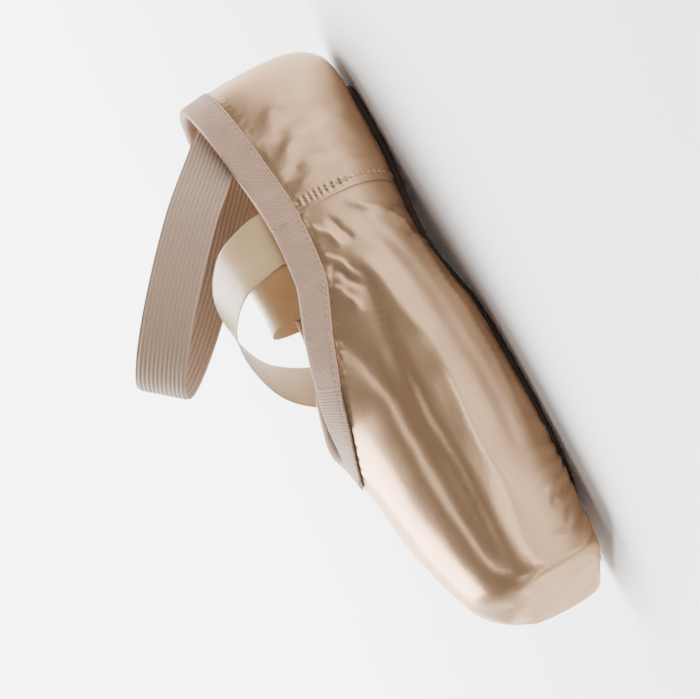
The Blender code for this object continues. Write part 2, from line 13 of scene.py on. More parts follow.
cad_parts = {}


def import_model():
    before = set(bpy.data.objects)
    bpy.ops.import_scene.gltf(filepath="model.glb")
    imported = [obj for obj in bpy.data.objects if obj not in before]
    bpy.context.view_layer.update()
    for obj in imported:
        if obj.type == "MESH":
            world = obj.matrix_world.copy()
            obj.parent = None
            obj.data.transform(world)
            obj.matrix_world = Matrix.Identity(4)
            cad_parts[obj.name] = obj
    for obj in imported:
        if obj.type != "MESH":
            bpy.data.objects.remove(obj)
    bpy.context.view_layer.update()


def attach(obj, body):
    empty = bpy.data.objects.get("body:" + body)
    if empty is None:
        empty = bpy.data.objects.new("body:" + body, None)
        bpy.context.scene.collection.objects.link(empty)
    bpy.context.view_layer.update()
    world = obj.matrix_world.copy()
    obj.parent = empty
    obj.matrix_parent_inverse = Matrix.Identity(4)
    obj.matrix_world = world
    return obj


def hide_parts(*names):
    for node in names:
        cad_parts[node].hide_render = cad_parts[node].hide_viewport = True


# Sizes of the last and its layers
LENGTH, BALL_WIDTH, HEEL_ROUND = 0.232, 0.088, 0.030
INSTEP_HEIGHT, HEEL_HEIGHT, WIDEST_HEIGHT = 0.0667, 0.0593, 0.022
ARCH_RISE, TOE_SPRING = 0.0035, 0.0022
VAMP_LENGTH, THROAT_LENGTH, THROAT_TAPER, THROAT_FULLNESS = 0.078, 0.036, 0.75, 0.52
QUARTER_WALL, BOX_WALL, CLEARANCE = 0.0014, 0.0026, 0.0003
CROWN_ROUND, CROWN_DROP, EDGE_ROUND, EDGE_DROP = 0.012, 0.014, 0.003, 0.0027
SOLE_LENGTH, SOLE_WIDTH, SOLE_THICKNESS, HEEL_MARGIN = 0.184, 0.056, 0.0025, 0.022
INSOLE_THICKNESS, INSOLE_LENGTH, INSOLE_HEEL_MARGIN = 0.0012, 0.200, 0.013
SEAM_PLACE, SEAM_BOW, SEAM_SPREAD, QUARTER_STEP, STEP_RUN = 0.0745, 0.0025, 0.015, 0.0005, 0.0004
BINDING_WIDTH, BINDING_THICKNESS, THROAT_ELASTIC_LENGTH = 0.0105, 0.0009, 0.020
STRIP_WIDTH, STRIP_THICKNESS = 0.0154, 0.0008
ELASTIC_WIDTH, ELASTIC_THICKNESS, ELASTIC_LEAN = 0.019, 0.0012, math.radians(40)
ELASTIC_PLACE, ELASTIC_SEWN, ELASTIC_REACH, ELASTIC_HALF_GAP = 0.030, 0.014, 0.088, 0.030
ELASTIC_ARCH, ELASTIC_TUCK, ELASTIC_TWIST, ELASTIC_UPRIGHT = 0.054, 0.22, 0.3, 0.62
RIBBON_WIDTH, RIBBON_THICKNESS, RIBBON_STEP = 0.022, 0.00035, 0.05
STITCH_INSET, SOLE_STITCH_PITCH, SOLE_STEPS, SOLE_CORE = 0.004, 0.0045, 150, 12
LATTICE_START, LATTICE_SLANT, LATTICE_PITCH, LATTICE_TURN = 0.118, 0.42, 0.0047, math.radians(54)
SEAT_SHARE, WIDEST_SHARE = 0.12, 0.42
AZIMUTH, ELEVATION, ROLL = math.radians(158), math.radians(7), math.radians(116)
CAMERA_DISTANCE, CAMERA_HEIGHT, LENS = 1.35, 0.046, 192
# Lights: name, place, aim, size and watts. The first stands behind the shoe, over the floor.
LIGHTS = (
    ("overhead", (-0.55, -1.35, 1.75), (-0.1, -0.7, 0), (3.2, 1.9), 340),
    ("side_strip", (0.7, 2.2, 0.34), (0, 0, 0.03), (2.4, 0.14), 18),
    ("high_strip", (0.2, 1.5, 2.1), (0, 0, 0.03), (2.4, 0.3), 12),
    ("toe_side", (2.0, 0.4, 0.8), (0, 0, 0.03), (0.5, 1.0), 9))
FAN_LENGTH = HEEL_ROUND * math.pi / 2
MIDDLE = (LENGTH - CLEARANCE - STRIP_THICKNESS - QUARTER_STEP) / 2
THROAT_TIP = LENGTH - VAMP_LENGTH
THROAT_START = THROAT_TIP - THROAT_LENGTH

# Sections: share of the length, width, crest, seat, shoulder
SECTIONS = np.array((
    (0.129, 0.682, 1.50, 0.63, 2.0), (0.237, 0.718, 1.50, 0.58, 2.0), (0.323, 0.759, 1.45, 0.56, 2.0),
    (0.414, 0.832, 1.35, 0.54, 2.0), (0.487, 0.914, 1.245, 0.56, 2.0), (0.552, 0.975, 1.155, 0.62, 2.0),
    (0.608, 1.000, 1.075, 0.67, 2.05), (0.664, 0.996, 1.000, 0.69, 2.1), (0.733, 0.955, 0.964, 0.70, 2.15),
    (0.832, 0.846, 0.912, 0.72, 2.25), (0.914, 0.741, 0.840, 0.72, 2.4), (1.000, 0.623, 0.727, 0.68, 2.6)))
RISES = np.array((
    (0.000, 0.0, 0.0), (0.240, 0.0, 0.0), (0.320, 0.55, 0.0), (0.410, 1.0, 0.0), (0.500, 0.45, 0.0),
    (0.570, 0.0, 0.0), (0.820, 0.0, 0.0), (0.890, 0.0, 0.30), (1.000, 0.0, 1.0)))
TOPLINE = np.array((
    (0.000, 1.000), (0.065, 0.985), (0.190, 0.930), (0.310, 0.897), (0.410, 0.925), (0.487, 1.015),
    (0.508, 1.045)))
SOLE_OUTLINE = np.array((
    (0.000, 0.10), (0.010, 0.33), (0.037, 0.56), (0.086, 0.66), (0.200, 0.643), (0.340, 0.622),
    (0.430, 0.643), (0.505, 0.732), (0.577, 0.857), (0.649, 0.960), (0.730, 1.000), (0.802, 0.975),
    (0.874, 0.865), (0.920, 0.735), (0.960, 0.545), (0.988, 0.30), (1.000, 0.10)))
# Ribbon routes: shares of the length, the ball width and the heel height, and the heading in degrees
RIBBON_RIGHT_ROUTE = (
    (0.3190, -0.3045, 0.6745, -90), (0.3190, -0.2977, 0.8432, -90), (0.3185, -0.2977, 0.9865, -90),
    (0.3168, -0.3455, 1.0793, -90), (0.3142, -0.4170, 1.0624, -90), (0.3112, -0.4659, 0.9191, -90),
    (0.3086, -0.4830, 0.6745, -90), (0.3060, -0.5000, 0.4047, -92), (0.3017, -0.5568, 0.1349, -95),
    (0.2888, -0.7273, 0.0202, -102), (0.2328, -1.1591, 0.0169, -112), (0.1509, -1.6136, 0.0169, -110),
    (0.0991, -2.1364, 0.0169, -100), (0.0647, -2.6932, 0.0169, -104), (-0.0129, -3.2159, 0.0169, -114),
    (-0.1121, -3.7386, 0.0169, -114), (-0.1767, -4.2955, 0.0169, -102), (-0.2112, -4.8409, 0.0169, -102),
    (-0.2672, -5.3295, 0.0169, -112))
RIBBON_LEFT_ROUTE = (
    (0.3190, 0.3045, 0.6745, -90), (0.3190, 0.2977, 0.8432, -90), (0.3216, 0.2864, 1.0118, -88),
    (0.3341, 0.2045, 1.2310, -82), (0.3578, 0.0114, 1.3491, -76), (0.3922, -0.2045, 1.3238, -70),
    (0.4310, -0.4091, 1.1804, -70), (0.4547, -0.5568, 0.8769, -76), (0.4655, -0.6136, 0.5059, -84),
    (0.4698, -0.6818, 0.1686, -90), (0.4677, -0.8523, 0.0219, -98), (0.4267, -1.2841, 0.0169, -108),
    (0.3578, -1.7500, 0.0169, -112), (0.2759, -2.2614, 0.0169, -108), (0.2241, -2.8068, 0.0169, -100),
    (0.1897, -3.3523, 0.0169, -102), (0.1164, -3.8750, 0.0169, -114), (0.0129, -4.3750, 0.0169, -116),
    (-0.0647, -4.9091, 0.0169, -106))


def smooth(share):
    share = np.clip(share, 0.0, 1.0)
    return share * share * (3 - 2 * share)


def peak(value, centre, width):
    """A bell curve of height 1 about a centre."""
    return np.exp(-((value - centre) / width) ** 2)


def plane(first, second):
    """UV places from two sets of numbers that are broadcast against each other."""
    return np.stack(np.broadcast_arrays(first, second), axis=-1)


def table(rows, column, at):
    """A column of a table at places along it, as a smooth curve that never overshoots."""
    places, values = rows[:, 0], rows[:, column]
    spans = np.diff(places)
    rises = np.diff(values) / spans
    product, total = rises[:-1] * rises[1:], rises[:-1] + rises[1:]
    inner = np.where(product > 0, 2 * product / np.where(total == 0, 1, total), 0)
    slopes = np.concatenate(([rises[0]], inner, [rises[-1]]))
    at = np.clip(at, places[0], places[-1])
    i = np.clip(np.searchsorted(places, at, side="right") - 1, 0, len(places) - 2)
    t = (at - places[i]) / spans[i]
    return (values[i] * (2 * t ** 3 - 3 * t ** 2 + 1) + slopes[i] * spans[i] * (t ** 3 - 2 * t ** 2 + t)
            + values[i + 1] * (3 * t ** 2 - 2 * t ** 3) + slopes[i + 1] * spans[i] * (t ** 3 - t ** 2))


def rise(x):
    return ARCH_RISE * table(RISES, 1, x / LENGTH) + TOE_SPRING * table(RISES, 2, x / LENGTH)


def rounding(x, radius):
    share = np.clip((x - LENGTH + radius) / radius, 0, 1)
    return 1 - np.sqrt(1 - share * share)


def half_width(x):
    return BALL_WIDTH * table(SECTIONS, 1, x / LENGTH) / 2 - EDGE_DROP * rounding(x, EDGE_ROUND)


def crest_height(x):
    return INSTEP_HEIGHT * table(SECTIONS, 2, x / LENGTH) - CROWN_DROP * rounding(x, CROWN_ROUND)


def seat_height(x):
    return SOLE_THICKNESS + CLEARANCE + rise(x) + EDGE_DROP * rounding(x, EDGE_ROUND)


def wall(x):
    box = smooth((x - (LENGTH - VAMP_LENGTH - 0.5 * THROAT_LENGTH)) / THROAT_LENGTH)
    return QUARTER_WALL + (BOX_WALL - QUARTER_WALL) * box


def surface(u, v, out=0.0, inside=False):
    """Points of the last's form: u runs around the plan from the heel back, v up from the seat's middle."""
    u, v = np.broadcast_arrays(np.asarray(u, float), np.asarray(v, float))
    around, side = np.abs(u), np.where(u >= 0, 1.0, -1.0)
    x = np.maximum(HEEL_ROUND, HEEL_ROUND + around - FAN_LENGTH)
    grow = -(wall(x) + out) if inside else out + 0 * x
    behind = np.clip((SEAM_PLACE + STEP_RUN - x) / STEP_RUN, 0, 1)
    step = QUARTER_STEP * behind * smooth(2 * (v - SEAT_SHARE) / (WIDEST_SHARE - SEAT_SHARE))
    wide = half_width(x) + grow + (0 if inside else step)
    low, crest = seat_height(x) - grow, crest_height(x) + grow
    seat = table(SECTIONS, 3, x / LENGTH)
    lower = np.clip((v - SEAT_SHARE) / (WIDEST_SHARE - SEAT_SHARE), 0, 1) * math.pi / 2
    upper = np.clip((v - WIDEST_SHARE) / (1 - WIDEST_SHARE), 0, 1) * math.pi / 2
    power = 2 / table(SECTIONS, 4, x / LENGTH)
    share = np.where(v < SEAT_SHARE, seat * v / SEAT_SHARE,
                     np.where(v < WIDEST_SHARE, seat + (1 - seat) * np.sin(lower),
                              np.maximum(0, np.cos(upper)) ** power))
    z = np.where(v < WIDEST_SHARE, WIDEST_HEIGHT - (WIDEST_HEIGHT - low) * np.cos(lower),
                 WIDEST_HEIGHT + (crest - WIDEST_HEIGHT) * np.sin(upper) ** power)
    turn = np.minimum(around / FAN_LENGTH, 1) * math.pi / 2
    reach = (HEEL_ROUND + wide - half_width(np.full_like(x, HEEL_ROUND))) * np.cos(turn)
    bow = (SEAM_BOW * np.sin(math.pi * np.clip(z / HEEL_HEIGHT, 0, 1))
           * peak(x, SEAM_PLACE, SEAM_SPREAD))
    toe = smooth((x - LENGTH + HEEL_ROUND) / HEEL_ROUND)
    fan = around < FAN_LENGTH
    px = np.where(fan, HEEL_ROUND - reach * share, x - bow + grow * toe) - MIDDLE
    return np.stack((px, side * wide * share * np.where(fan, np.sin(turn), 1.0), z), axis=-1)


def unit(vectors):
    return vectors / np.maximum(np.linalg.norm(vectors, axis=-1, keepdims=True), 1e-9)


def normal(u, v, probe=0.0002):
    """Unit normals that point out of the form."""
    v = np.clip(v, 0.002, 1 - probe)
    along = surface(u + probe, v) - surface(u - probe, v)
    return unit(np.cross(surface(u, v + probe) - surface(u, v - probe), along))


def walk(u, v, heading, distance, steps=8):
    """Parameters of points reached by going a distance over the form, along headings."""
    u, v, probe = np.array(u, float), np.array(v, float), 0.0001
    for _ in range(steps):
        along = (surface(u + probe, v) - surface(u - probe, v)) / (2 * probe)
        up = (surface(u, v) - surface(u, v - probe)) / probe
        aa, ab, bb = (along ** 2).sum(-1), (along * up).sum(-1), (up ** 2).sum(-1)
        ha, hb = (heading * along).sum(-1), (heading * up).sum(-1)
        du, dv = ha * bb - hb * ab, hb * aa - ha * ab
        length = np.linalg.norm(along * du[..., None] + up * dv[..., None], axis=-1)
        u = u + du * distance / steps / length
        v = np.minimum(1.0, v + dv * distance / steps / length)
    return u, v


def topline_share(x):
    """Where the topline crosses the section at x, as v."""
    rib_x = np.maximum(HEEL_ROUND, x)
    height = HEEL_HEIGHT * table(TOPLINE, 1, x / LENGTH)
    share = (height - WIDEST_HEIGHT) / (crest_height(rib_x) - WIDEST_HEIGHT)
    turn = np.arcsin(share ** (table(SECTIONS, 4, rib_x / LENGTH) / 2))
    return WIDEST_SHARE + (1 - WIDEST_SHARE) * turn / (math.pi / 2)


def share_at(x, z):
    """Where the form's side is z high in the section at x, as v."""
    lower = np.arccos(np.clip((WIDEST_HEIGHT - z) / (WIDEST_HEIGHT - seat_height(x)), 0, 1))
    upper = np.arcsin(np.clip((z - WIDEST_HEIGHT) / (crest_height(x) - WIDEST_HEIGHT), 0, 1)
                      ** (table(SECTIONS, 4, x / LENGTH) / 2))
    return np.where(z < WIDEST_HEIGHT, SEAT_SHARE + (WIDEST_SHARE - SEAT_SHARE) * lower / (math.pi / 2),
                    WIDEST_SHARE + (1 - WIDEST_SHARE) * upper / (math.pi / 2))


def collar_edge(throat_steps=90, rim_steps=300):
    """The collar's edge on the left as arrays u and v, from the throat's tip to the heel back."""
    turn = math.pi / 2 * (1 - np.arange(throat_steps) / throat_steps)
    x = THROAT_START + THROAT_LENGTH * np.sin(turn)
    start = np.array(THROAT_START)
    start_turn = (topline_share(start) - WIDEST_SHARE) / (1 - WIDEST_SHARE) * math.pi / 2
    gap = half_width(start) * np.cos(start_turn) ** (2 / table(SECTIONS, 4, start / LENGTH))
    y = gap * (1 - np.sin(turn)) ** THROAT_TAPER * (1 + THROAT_FULLNESS * np.sin(turn))
    rib_turn = np.arccos((y / half_width(x)) ** (table(SECTIONS, 4, x / LENGTH) / 2))
    u = (FAN_LENGTH + THROAT_START - HEEL_ROUND) * (1 - np.arange(rim_steps + 1) / rim_steps)
    rim_x = np.where(u < FAN_LENGTH, HEEL_ROUND * (1 - np.cos(u / FAN_LENGTH * math.pi / 2)),
                     HEEL_ROUND + u - FAN_LENGTH)
    return (np.concatenate((FAN_LENGTH + x - HEEL_ROUND, u)),
            np.concatenate((WIDEST_SHARE + (1 - WIDEST_SHARE) * rib_turn / (math.pi / 2),
                            topline_share(rim_x))))


def lengths(line):
    """How far along an open line each of its points lies."""
    steps = np.linalg.norm(np.diff(line, axis=0), axis=-1)
    return np.concatenate((np.zeros((1,) + steps.shape[1:]), np.cumsum(steps, axis=0)))


def at_arc(where, arc, values):
    """Rows of values read at places along an arc."""
    return np.stack([np.interp(where, arc, column) for column in values.T], axis=-1)


def mesh_piece(name, points, faces, uv=None, attributes=None, merge=0.0):
    """An object from points and faces, with a UV place and named numbers for each point."""
    mesh = bpy.data.meshes.new(name)
    mesh.from_pydata([tuple(p) for p in points], [], [tuple(f) for f in faces])
    if uv is not None:
        layer = mesh.uv_layers.new(name="UVMap")
        corners = np.empty(len(mesh.loops), dtype=np.int32)
        mesh.loops.foreach_get("vertex_index", corners)
        layer.data.foreach_set("uv", np.asarray(uv, dtype=np.float32)[corners].ravel())
    for key, values in (attributes or {}).items():
        mesh.attributes.new(key, "FLOAT", "POINT").data.foreach_set("value", np.asarray(values, np.float32))
    if merge:
        shape = bmesh.new()
        shape.from_mesh(mesh)
        bmesh.ops.remove_doubles(shape, verts=shape.verts, dist=merge)
        bmesh.ops.recalc_face_normals(shape, faces=shape.faces)
        shape.to_mesh(mesh)
        shape.free()
    mesh.shade_smooth()
    piece = bpy.data.objects.new(name, mesh)
    bpy.context.scene.collection.objects.link(piece)
    return piece


def grid_faces(rows, columns, wrap=False, first=0):
    """Quads of a grid whose point r, c has the index first + r * columns + c."""
    r, c = np.meshgrid(np.arange(rows - 1), np.arange(columns if wrap else columns - 1), indexing="ij")
    n = (c + 1) % columns
    a = first + r * columns
    return np.stack((a + c, a + n, a + columns + n, a + columns + c), axis=-1).reshape(-1, 4)


def grid_piece(name, grid, uv=None, wrap=False, merge=0.0, attributes=None, capped=False):
    rows, columns = grid.shape[:2]
    flat = {key: values.ravel() for key, values in (attributes or {}).items()}
    faces = [tuple(f) for f in grid_faces(rows, columns, wrap)]
    if capped:
        faces += [tuple(range(columns))[::-1], tuple(range((rows - 1) * columns, rows * columns))]
    places = None if uv is None else uv.reshape(-1, 2)
    return mesh_piece(name, grid.reshape(-1, 3), faces, places, flat, merge)


def finish_piece(piece, material, slot, *nodes):
    piece.data.materials.append(material)
    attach(piece, "root")
    if nodes:
        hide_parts(*nodes)
    return piece


# Materials


class Shader:
    """A small helper that adds nodes to one material."""

    def __init__(self, name, roughness, **constants):
        self.material = bpy.data.materials.new(name)
        self.material.use_nodes = True
        self.tree = self.material.node_tree
        self.bsdf = self.tree.nodes["Principled BSDF"]
        self.bsdf.inputs["Roughness"].default_value = roughness
        for key, value in constants.items():
            self.bsdf.inputs[key.replace("_", " ")].default_value = value
        self.height = None

    def node(self, kind, **sockets):
        found = self.tree.nodes.new(kind)
        for key, value in sockets.items():
            self.plug(found, key.replace("_", " "), value)
        return found

    def plug(self, node, key, value):
        socket = node.inputs[int(key[1:])] if key[:1] == "i" and key[1:].isdigit() else node.inputs[key]
        if isinstance(value, bpy.types.NodeSocket):
            self.tree.links.new(value, socket)
        else:
            socket.default_value = value

    def math(self, operation, a, b=0.0, clamp=False):
        found = self.node("ShaderNodeMath", i0=a, i1=b)
        found.operation = operation
        found.use_clamp = clamp
        return found.outputs[0]

    def coordinates(self, kind="Object", scale=(1, 1, 1), turn=0):
        source = self.node("ShaderNodeTexCoord").outputs[kind]
        return self.node("ShaderNodeMapping", Vector=source, Scale=scale, Rotation=(0, 0, turn)).outputs[0]

    def noise(self, vector, scale, detail=2.0, roughness=0.5, distortion=0.0):
        return self.node("ShaderNodeTexNoise", Vector=vector, Scale=scale, Detail=detail,
                         Roughness=roughness, Distortion=distortion).outputs["Fac"]

    def cloud(self, scale, detail=3.0, roughness=0.5):
        return self.noise(self.coordinates(), scale, detail, roughness)

    def ramp(self, factor, *stops):
        found = self.node("ShaderNodeValToRGB", Fac=factor)
        elements = found.color_ramp.elements
        elements[0].position, elements[1].position = stops[0][0], stops[-1][0]
        for place, _ in stops[1:-1]:
            elements.new(place)
        for element, (_, colour) in zip(elements, stops):
            colour = (colour,) * 3 if isinstance(colour, (int, float)) else colour
            element.color = (*colour, 1)
        return found.outputs["Color"]

    def mix(self, factor, a, b, blend="MIX"):
        found = self.node("ShaderNodeMix")
        found.data_type, found.blend_type = "RGBA", blend
        for index, value in ((0, factor), (6, a), (7, b)):
            if isinstance(value, bpy.types.NodeSocket):
                self.tree.links.new(value, found.inputs[index])
            else:
                found.inputs[index].default_value = value if index == 0 else (*value, 1)
        return found.outputs[2]

    def tint(self, share, amount, base, colour):
        """The base, drawn toward a colour by a share times an amount."""
        return self.mix(self.math("MULTIPLY", share, amount), base, colour)

    def scaled(self, value, times, plus):
        """The value times a number, plus another."""
        found = self.node("ShaderNodeMath", i0=value, i1=times, i2=plus)
        found.operation = "MULTIPLY_ADD"
        return found.outputs[0]

    def attribute(self, name):
        found = self.node("ShaderNodeAttribute")
        found.attribute_name = name
        return found.outputs["Fac"]

    def waves(self, vector, axis, period, power=1.0):
        """Even ridges along an axis of the vector, from 0 to 1."""
        part = self.node("ShaderNodeSeparateXYZ", Vector=vector).outputs[axis]
        turned = self.math("SINE", self.math("MULTIPLY", part, 2 * math.pi / period))
        half = self.scaled(turned, 0.5, 0.5)
        return self.math("POWER", half, power) if power != 1.0 else half

    def bump(self, height, distance, strength=1.0):
        found = self.node("ShaderNodeBump", Height=height, Distance=distance, Strength=strength)
        if self.height is not None:
            self.tree.links.new(self.height, found.inputs["Normal"])
        self.height = found.outputs[0]
        self.tree.links.new(self.height, self.bsdf.inputs["Normal"])

    def colour(self, value):
        self.plug(self.bsdf, "Base Color", value)

    def roughness(self, value):
        self.plug(self.bsdf, "Roughness", value)


def satin_material():
    shader = Shader("satin", 0.34, Metallic=0.70, Anisotropic=0.55, Coat_Weight=0.14, Coat_Roughness=0.18,
                    Specular_IOR_Level=0.55, Specular_Tint=(1.0, 0.84, 0.68, 1))
    weave = shader.node("ShaderNodeTangent")
    weave.direction_type = "UV_MAP"
    shader.plug(shader.bsdf, "Tangent", weave.outputs[0])
    threads = shader.coordinates("UV", (120, 5200, 1))
    weft = shader.coordinates("UV", (2600, 260, 1))
    place = shader.coordinates()
    fine, cross = shader.noise(threads, 1.0, 2.0), shader.noise(weft, 1.0, 1.0)
    patches = shader.noise(place, 38, 3.0, 0.6)
    crush = shader.noise(shader.coordinates("Object", (1, 1, 1.6)), 190, 3.0, 0.55, 0.6)
    base = shader.ramp(patches, (0.28, (0.425, 0.256, 0.142)), (0.72, (0.505, 0.316, 0.184)))
    base = shader.tint(fine, 0.15, base, (0.64, 0.425, 0.265))
    wear = shader.attribute("wear")
    worn = shader.tint(wear, 0.8, base, (0.57, 0.355, 0.19))
    shader.colour(shader.tint(shader.attribute("shade"), 0.8, worn, (0.20, 0.12, 0.07)))
    rough = shader.scaled(fine, 0.05, 0.265)
    shader.roughness(shader.math("ADD", rough, shader.math("MULTIPLY", wear, 0.25), clamp=True))
    shader.bump(fine, 0.000008)
    shader.bump(cross, 0.000008)
    shader.bump(crush, 0.00008, 0.6)
    return shader.material


def twill_material():
    shader = Shader("twill", 0.72, Sheen_Weight=0.35, Sheen_Roughness=0.5, Sheen_Tint=(1, 0.9, 0.84, 1))
    place = shader.coordinates("UV", turn=math.radians(38))
    ribs = shader.waves(place, 0, 0.00092, 0.8)
    cross = shader.waves(shader.coordinates("UV", turn=math.radians(-50)), 0, 0.0005)
    cloud = shader.cloud(120)
    base = shader.ramp(cloud, (0.3, (0.44, 0.262, 0.172)), (0.7, (0.53, 0.335, 0.23)))
    # Painted shade: the grooves between the ribs take a darker copy of the colour, following the ribs' bump.
    base = shader.mix(shader.math("MULTIPLY", ribs, 0.5), shader.mix(0.4, base, (0.20, 0.105, 0.062)), base)
    shader.colour(shader.tint(shader.attribute("shade"), 0.75, base, (0.23, 0.14, 0.095)))
    shader.bump(ribs, 0.00016)
    shader.bump(cross, 0.00005)
    return shader.material


def ribbed_material(name, light, dark, axis, period):
    shader = Shader(name, 0.75, Sheen_Weight=0.3, Sheen_Roughness=0.5)
    place = shader.coordinates("UV")
    ribs = shader.waves(place, axis, period, 0.7)
    knit = shader.waves(place, 1 - axis, 0.00062)
    cloud = shader.cloud(150)
    # Painted shade: the rib valleys take the dark colour and the crests the light one, following the ribs'
    # bump.
    base = shader.mix(ribs, dark, light)
    base = shader.tint(cloud, 0.3, base, tuple(c * 0.72 for c in light))
    shader.colour(shader.tint(shader.attribute("shade"), 0.7, base, (0.2, 0.13, 0.09)))
    shader.bump(ribs, 0.0002)
    shader.bump(knit, 0.00008)
    return shader.material


def cloth_material(name, light, dark, roughness=0.8, weave=0.0006, sheen=0.3):
    """Plain woven cloth: cotton lining, tape or thread."""
    shader = Shader(name, roughness, Sheen_Weight=sheen, Sheen_Roughness=0.5)
    place = shader.coordinates("UV")
    warp, weft = shader.waves(place, 0, weave), shader.waves(place, 1, weave)
    cloud = shader.cloud(90, 4.0, 0.6)
    base = shader.ramp(cloud, (0.3, dark), (0.7, light))
    shader.colour(shader.tint(shader.attribute("shade"), 0.75, base, tuple(c * 0.35 for c in dark)))
    shader.bump(shader.math("MULTIPLY", warp, weft), 0.00007)
    shader.bump(cloud, 0.0002)
    return shader.material


def ribbon_material():
    shader = Shader("ribbon_satin", 0.42, Sheen_Weight=0.3, Sheen_Roughness=0.35, Specular_IOR_Level=0.6,
                    Sheen_Tint=(1.0, 0.9, 0.74, 1))
    threads = shader.coordinates("UV", (5200, 90, 1))
    fine = shader.noise(threads, 1.0, 2.0)
    cloud = shader.cloud(60)
    base = shader.ramp(cloud, (0.3, (0.42, 0.272, 0.128)), (0.7, (0.50, 0.335, 0.168)))
    base = shader.tint(fine, 0.25, base, (0.57, 0.405, 0.225))
    shader.colour(shader.tint(shader.attribute("shade"), 0.6, base, (0.27, 0.18, 0.1)))
    shader.bump(fine, 0.00006)
    return shader.material


def sole_material():
    """Leatherboard with a scored lattice on the forefoot and a darker edge."""
    shader = Shader("leatherboard", 0.72, Specular_IOR_Level=0.35)
    place = shader.coordinates()
    grain = shader.noise(place, 900, 4.0, 0.65)
    cloud = shader.noise(place, 55, 4.0, 0.6)
    base = shader.ramp(cloud, (0.25, (0.080, 0.043, 0.020)), (0.6, (0.122, 0.069, 0.034)),
                       (0.85, (0.152, 0.090, 0.048)))
    base = shader.tint(grain, 0.5, base, (0.075, 0.042, 0.022))
    lines = [shader.ramp(shader.waves(shader.coordinates(turn=turn), 0, LATTICE_PITCH),
                         (0.86, 0.0), (0.965, 1.0)) for turn in (LATTICE_TURN, -LATTICE_TURN)]
    scored = shader.math("MULTIPLY", shader.math("MAXIMUM", *lines), shader.attribute("lattice"))
    base = shader.tint(scored, 0.85, base, (0.030, 0.017, 0.010))
    shader.colour(shader.mix(shader.attribute("shade"), base, (0.022, 0.013, 0.008)))
    shader.bump(grain, 0.00025, 0.7)
    shader.bump(shader.math("MULTIPLY", scored, -1.0), 0.0004)
    return shader.material


def plain_material(name, colour, roughness):
    shader = Shader(name, roughness)
    grain = shader.cloud(700)
    shader.colour(shader.ramp(grain, (0.3, tuple(c * 0.82 for c in colour)), (0.7, colour)))
    shader.bump(grain, 0.0001)
    return shader.material


# The upper's relief. Each fold of a side has its height, half width and the share of it on its steep side,
# then places along it: x from the heel back and the height over the floor, all in millimetres.
FOLDS = (
    (0.95, 2.4, 0.6, ((76, 27), (82, 20), (89, 13), (100, 9.5), (125, 8.5), (150, 8), (175, 8.5), (199, 10))),
    (-0.60, 3.2, 0.8, ((85, 28), (98, 20), (120, 16), (150, 15), (180, 15), (206, 15.5))),
    (0.48, 4.0, 0.8, ((96, 33), (110, 29), (135, 27), (165, 25.5), (195, 25), (219, 24))),
    (-0.55, 4.4, 0.7, ((92, 40), (106, 36), (134, 38), (163, 39.5), (189, 39.5), (213, 38), (227, 35))),
    (0.32, 5.0, 0.9, ((112, 46), (135, 49), (165, 50), (190, 48), (212, 44))),
    (0.50, 1.4, 0.6, ((80, 5.5), (82, 12), (84.5, 19))), (-0.55, 1.2, 0.7, ((84, 5.5), (86, 11), (89, 16))),
    (0.55, 1.5, 0.5, ((89, 5.5), (91.5, 10), (95, 14.5))),
    (-0.45, 1.2, 0.7, ((94.5, 5.5), (96.5, 9), (100, 12.5))),
    (0.40, 1.4, 0.6, ((100, 5.5), (103, 8.5), (108, 11))), (0.30, 2.0, 0.6, ((80, 42), (86, 37.5), (93, 34))),
    (-0.30, 1.8, 0.8, ((81, 36), (87, 32.5), (94, 31))),
    (0.38, 2.0, 0.6, ((90, 44), (96, 40), (102, 37), (111, 34))),
    (-0.30, 1.6, 0.8, ((97, 43), (103, 40), (112, 37.5))),
    (0.34, 1.9, 0.7, ((103, 47), (110, 43), (121, 41))),
    (0.50, 3.4, 0.6, ((66, 42), (62, 31), (63, 19), (66, 9))),
    (-0.48, 3.0, 0.8, ((58, 43), (54, 31), (54, 18), (57, 8))),
    (0.55, 3.6, 0.6, ((50, 43), (45, 30), (44, 17), (47, 8))),
    (-0.42, 3.0, 0.8, ((42, 42), (37, 30), (36, 17), (39, 8))),
    (0.40, 3.2, 0.7, ((35, 42), (31.5, 30), (31.5, 17), (34, 9))),
    (0.45, 1.1, 0.6, ((221.5, 5.5), (224.4, 7), (228.8, 13), (229.9, 22), (230.3, 30), (230.6, 35))),
    (-0.35, 0.9, 0.8, ((224.5, 4.9), (227.5, 7.5), (230.6, 14), (231.1, 24), (231.3, 33))),
    (0.42, 1.3, 0.5, ((214, 6.2), (218.5, 7.5), (222, 10.5), (224, 16), (223.4, 22))),
    (-0.35, 1.2, 0.8, ((213, 8.5), (217, 10.5), (220.5, 15), (221, 21))),
    (-0.32, 1.3, 0.7, ((209, 7), (210, 10.5), (212.5, 15.5))),
    (0.35, 1.2, 0.6, ((205.5, 7), (206.5, 10.5), (208.5, 15))))
PLEAT_CENTRE, PLEAT_TURN, PLEAT_HEIGHT = 0.184, math.radians(12.5), 0.00115
SEAM_STITCHES, SEAM_PITCH, BINDING_STITCHES, BINDING_PITCH = 0.0707, 0.0024, 0.0092, 0.0027
PLATFORM_MIDDLE, WEAR_START, HEM_PITCH, STITCH_WIDTH = 0.0195, 0.2292, 0.0033, 0.00034


def ripples(points, size, seed):
    """Smooth uneven values of about -1 to 1, from a few turned waves."""
    chance, total = np.random.default_rng(seed), 0.0
    for _ in range(7):
        way = unit(chance.normal(size=3)) * 2 * math.pi / (size * chance.uniform(0.7, 1.7))
        total = total + np.sin(points @ way + chance.uniform(0, 2 * math.pi))
    return total / 3


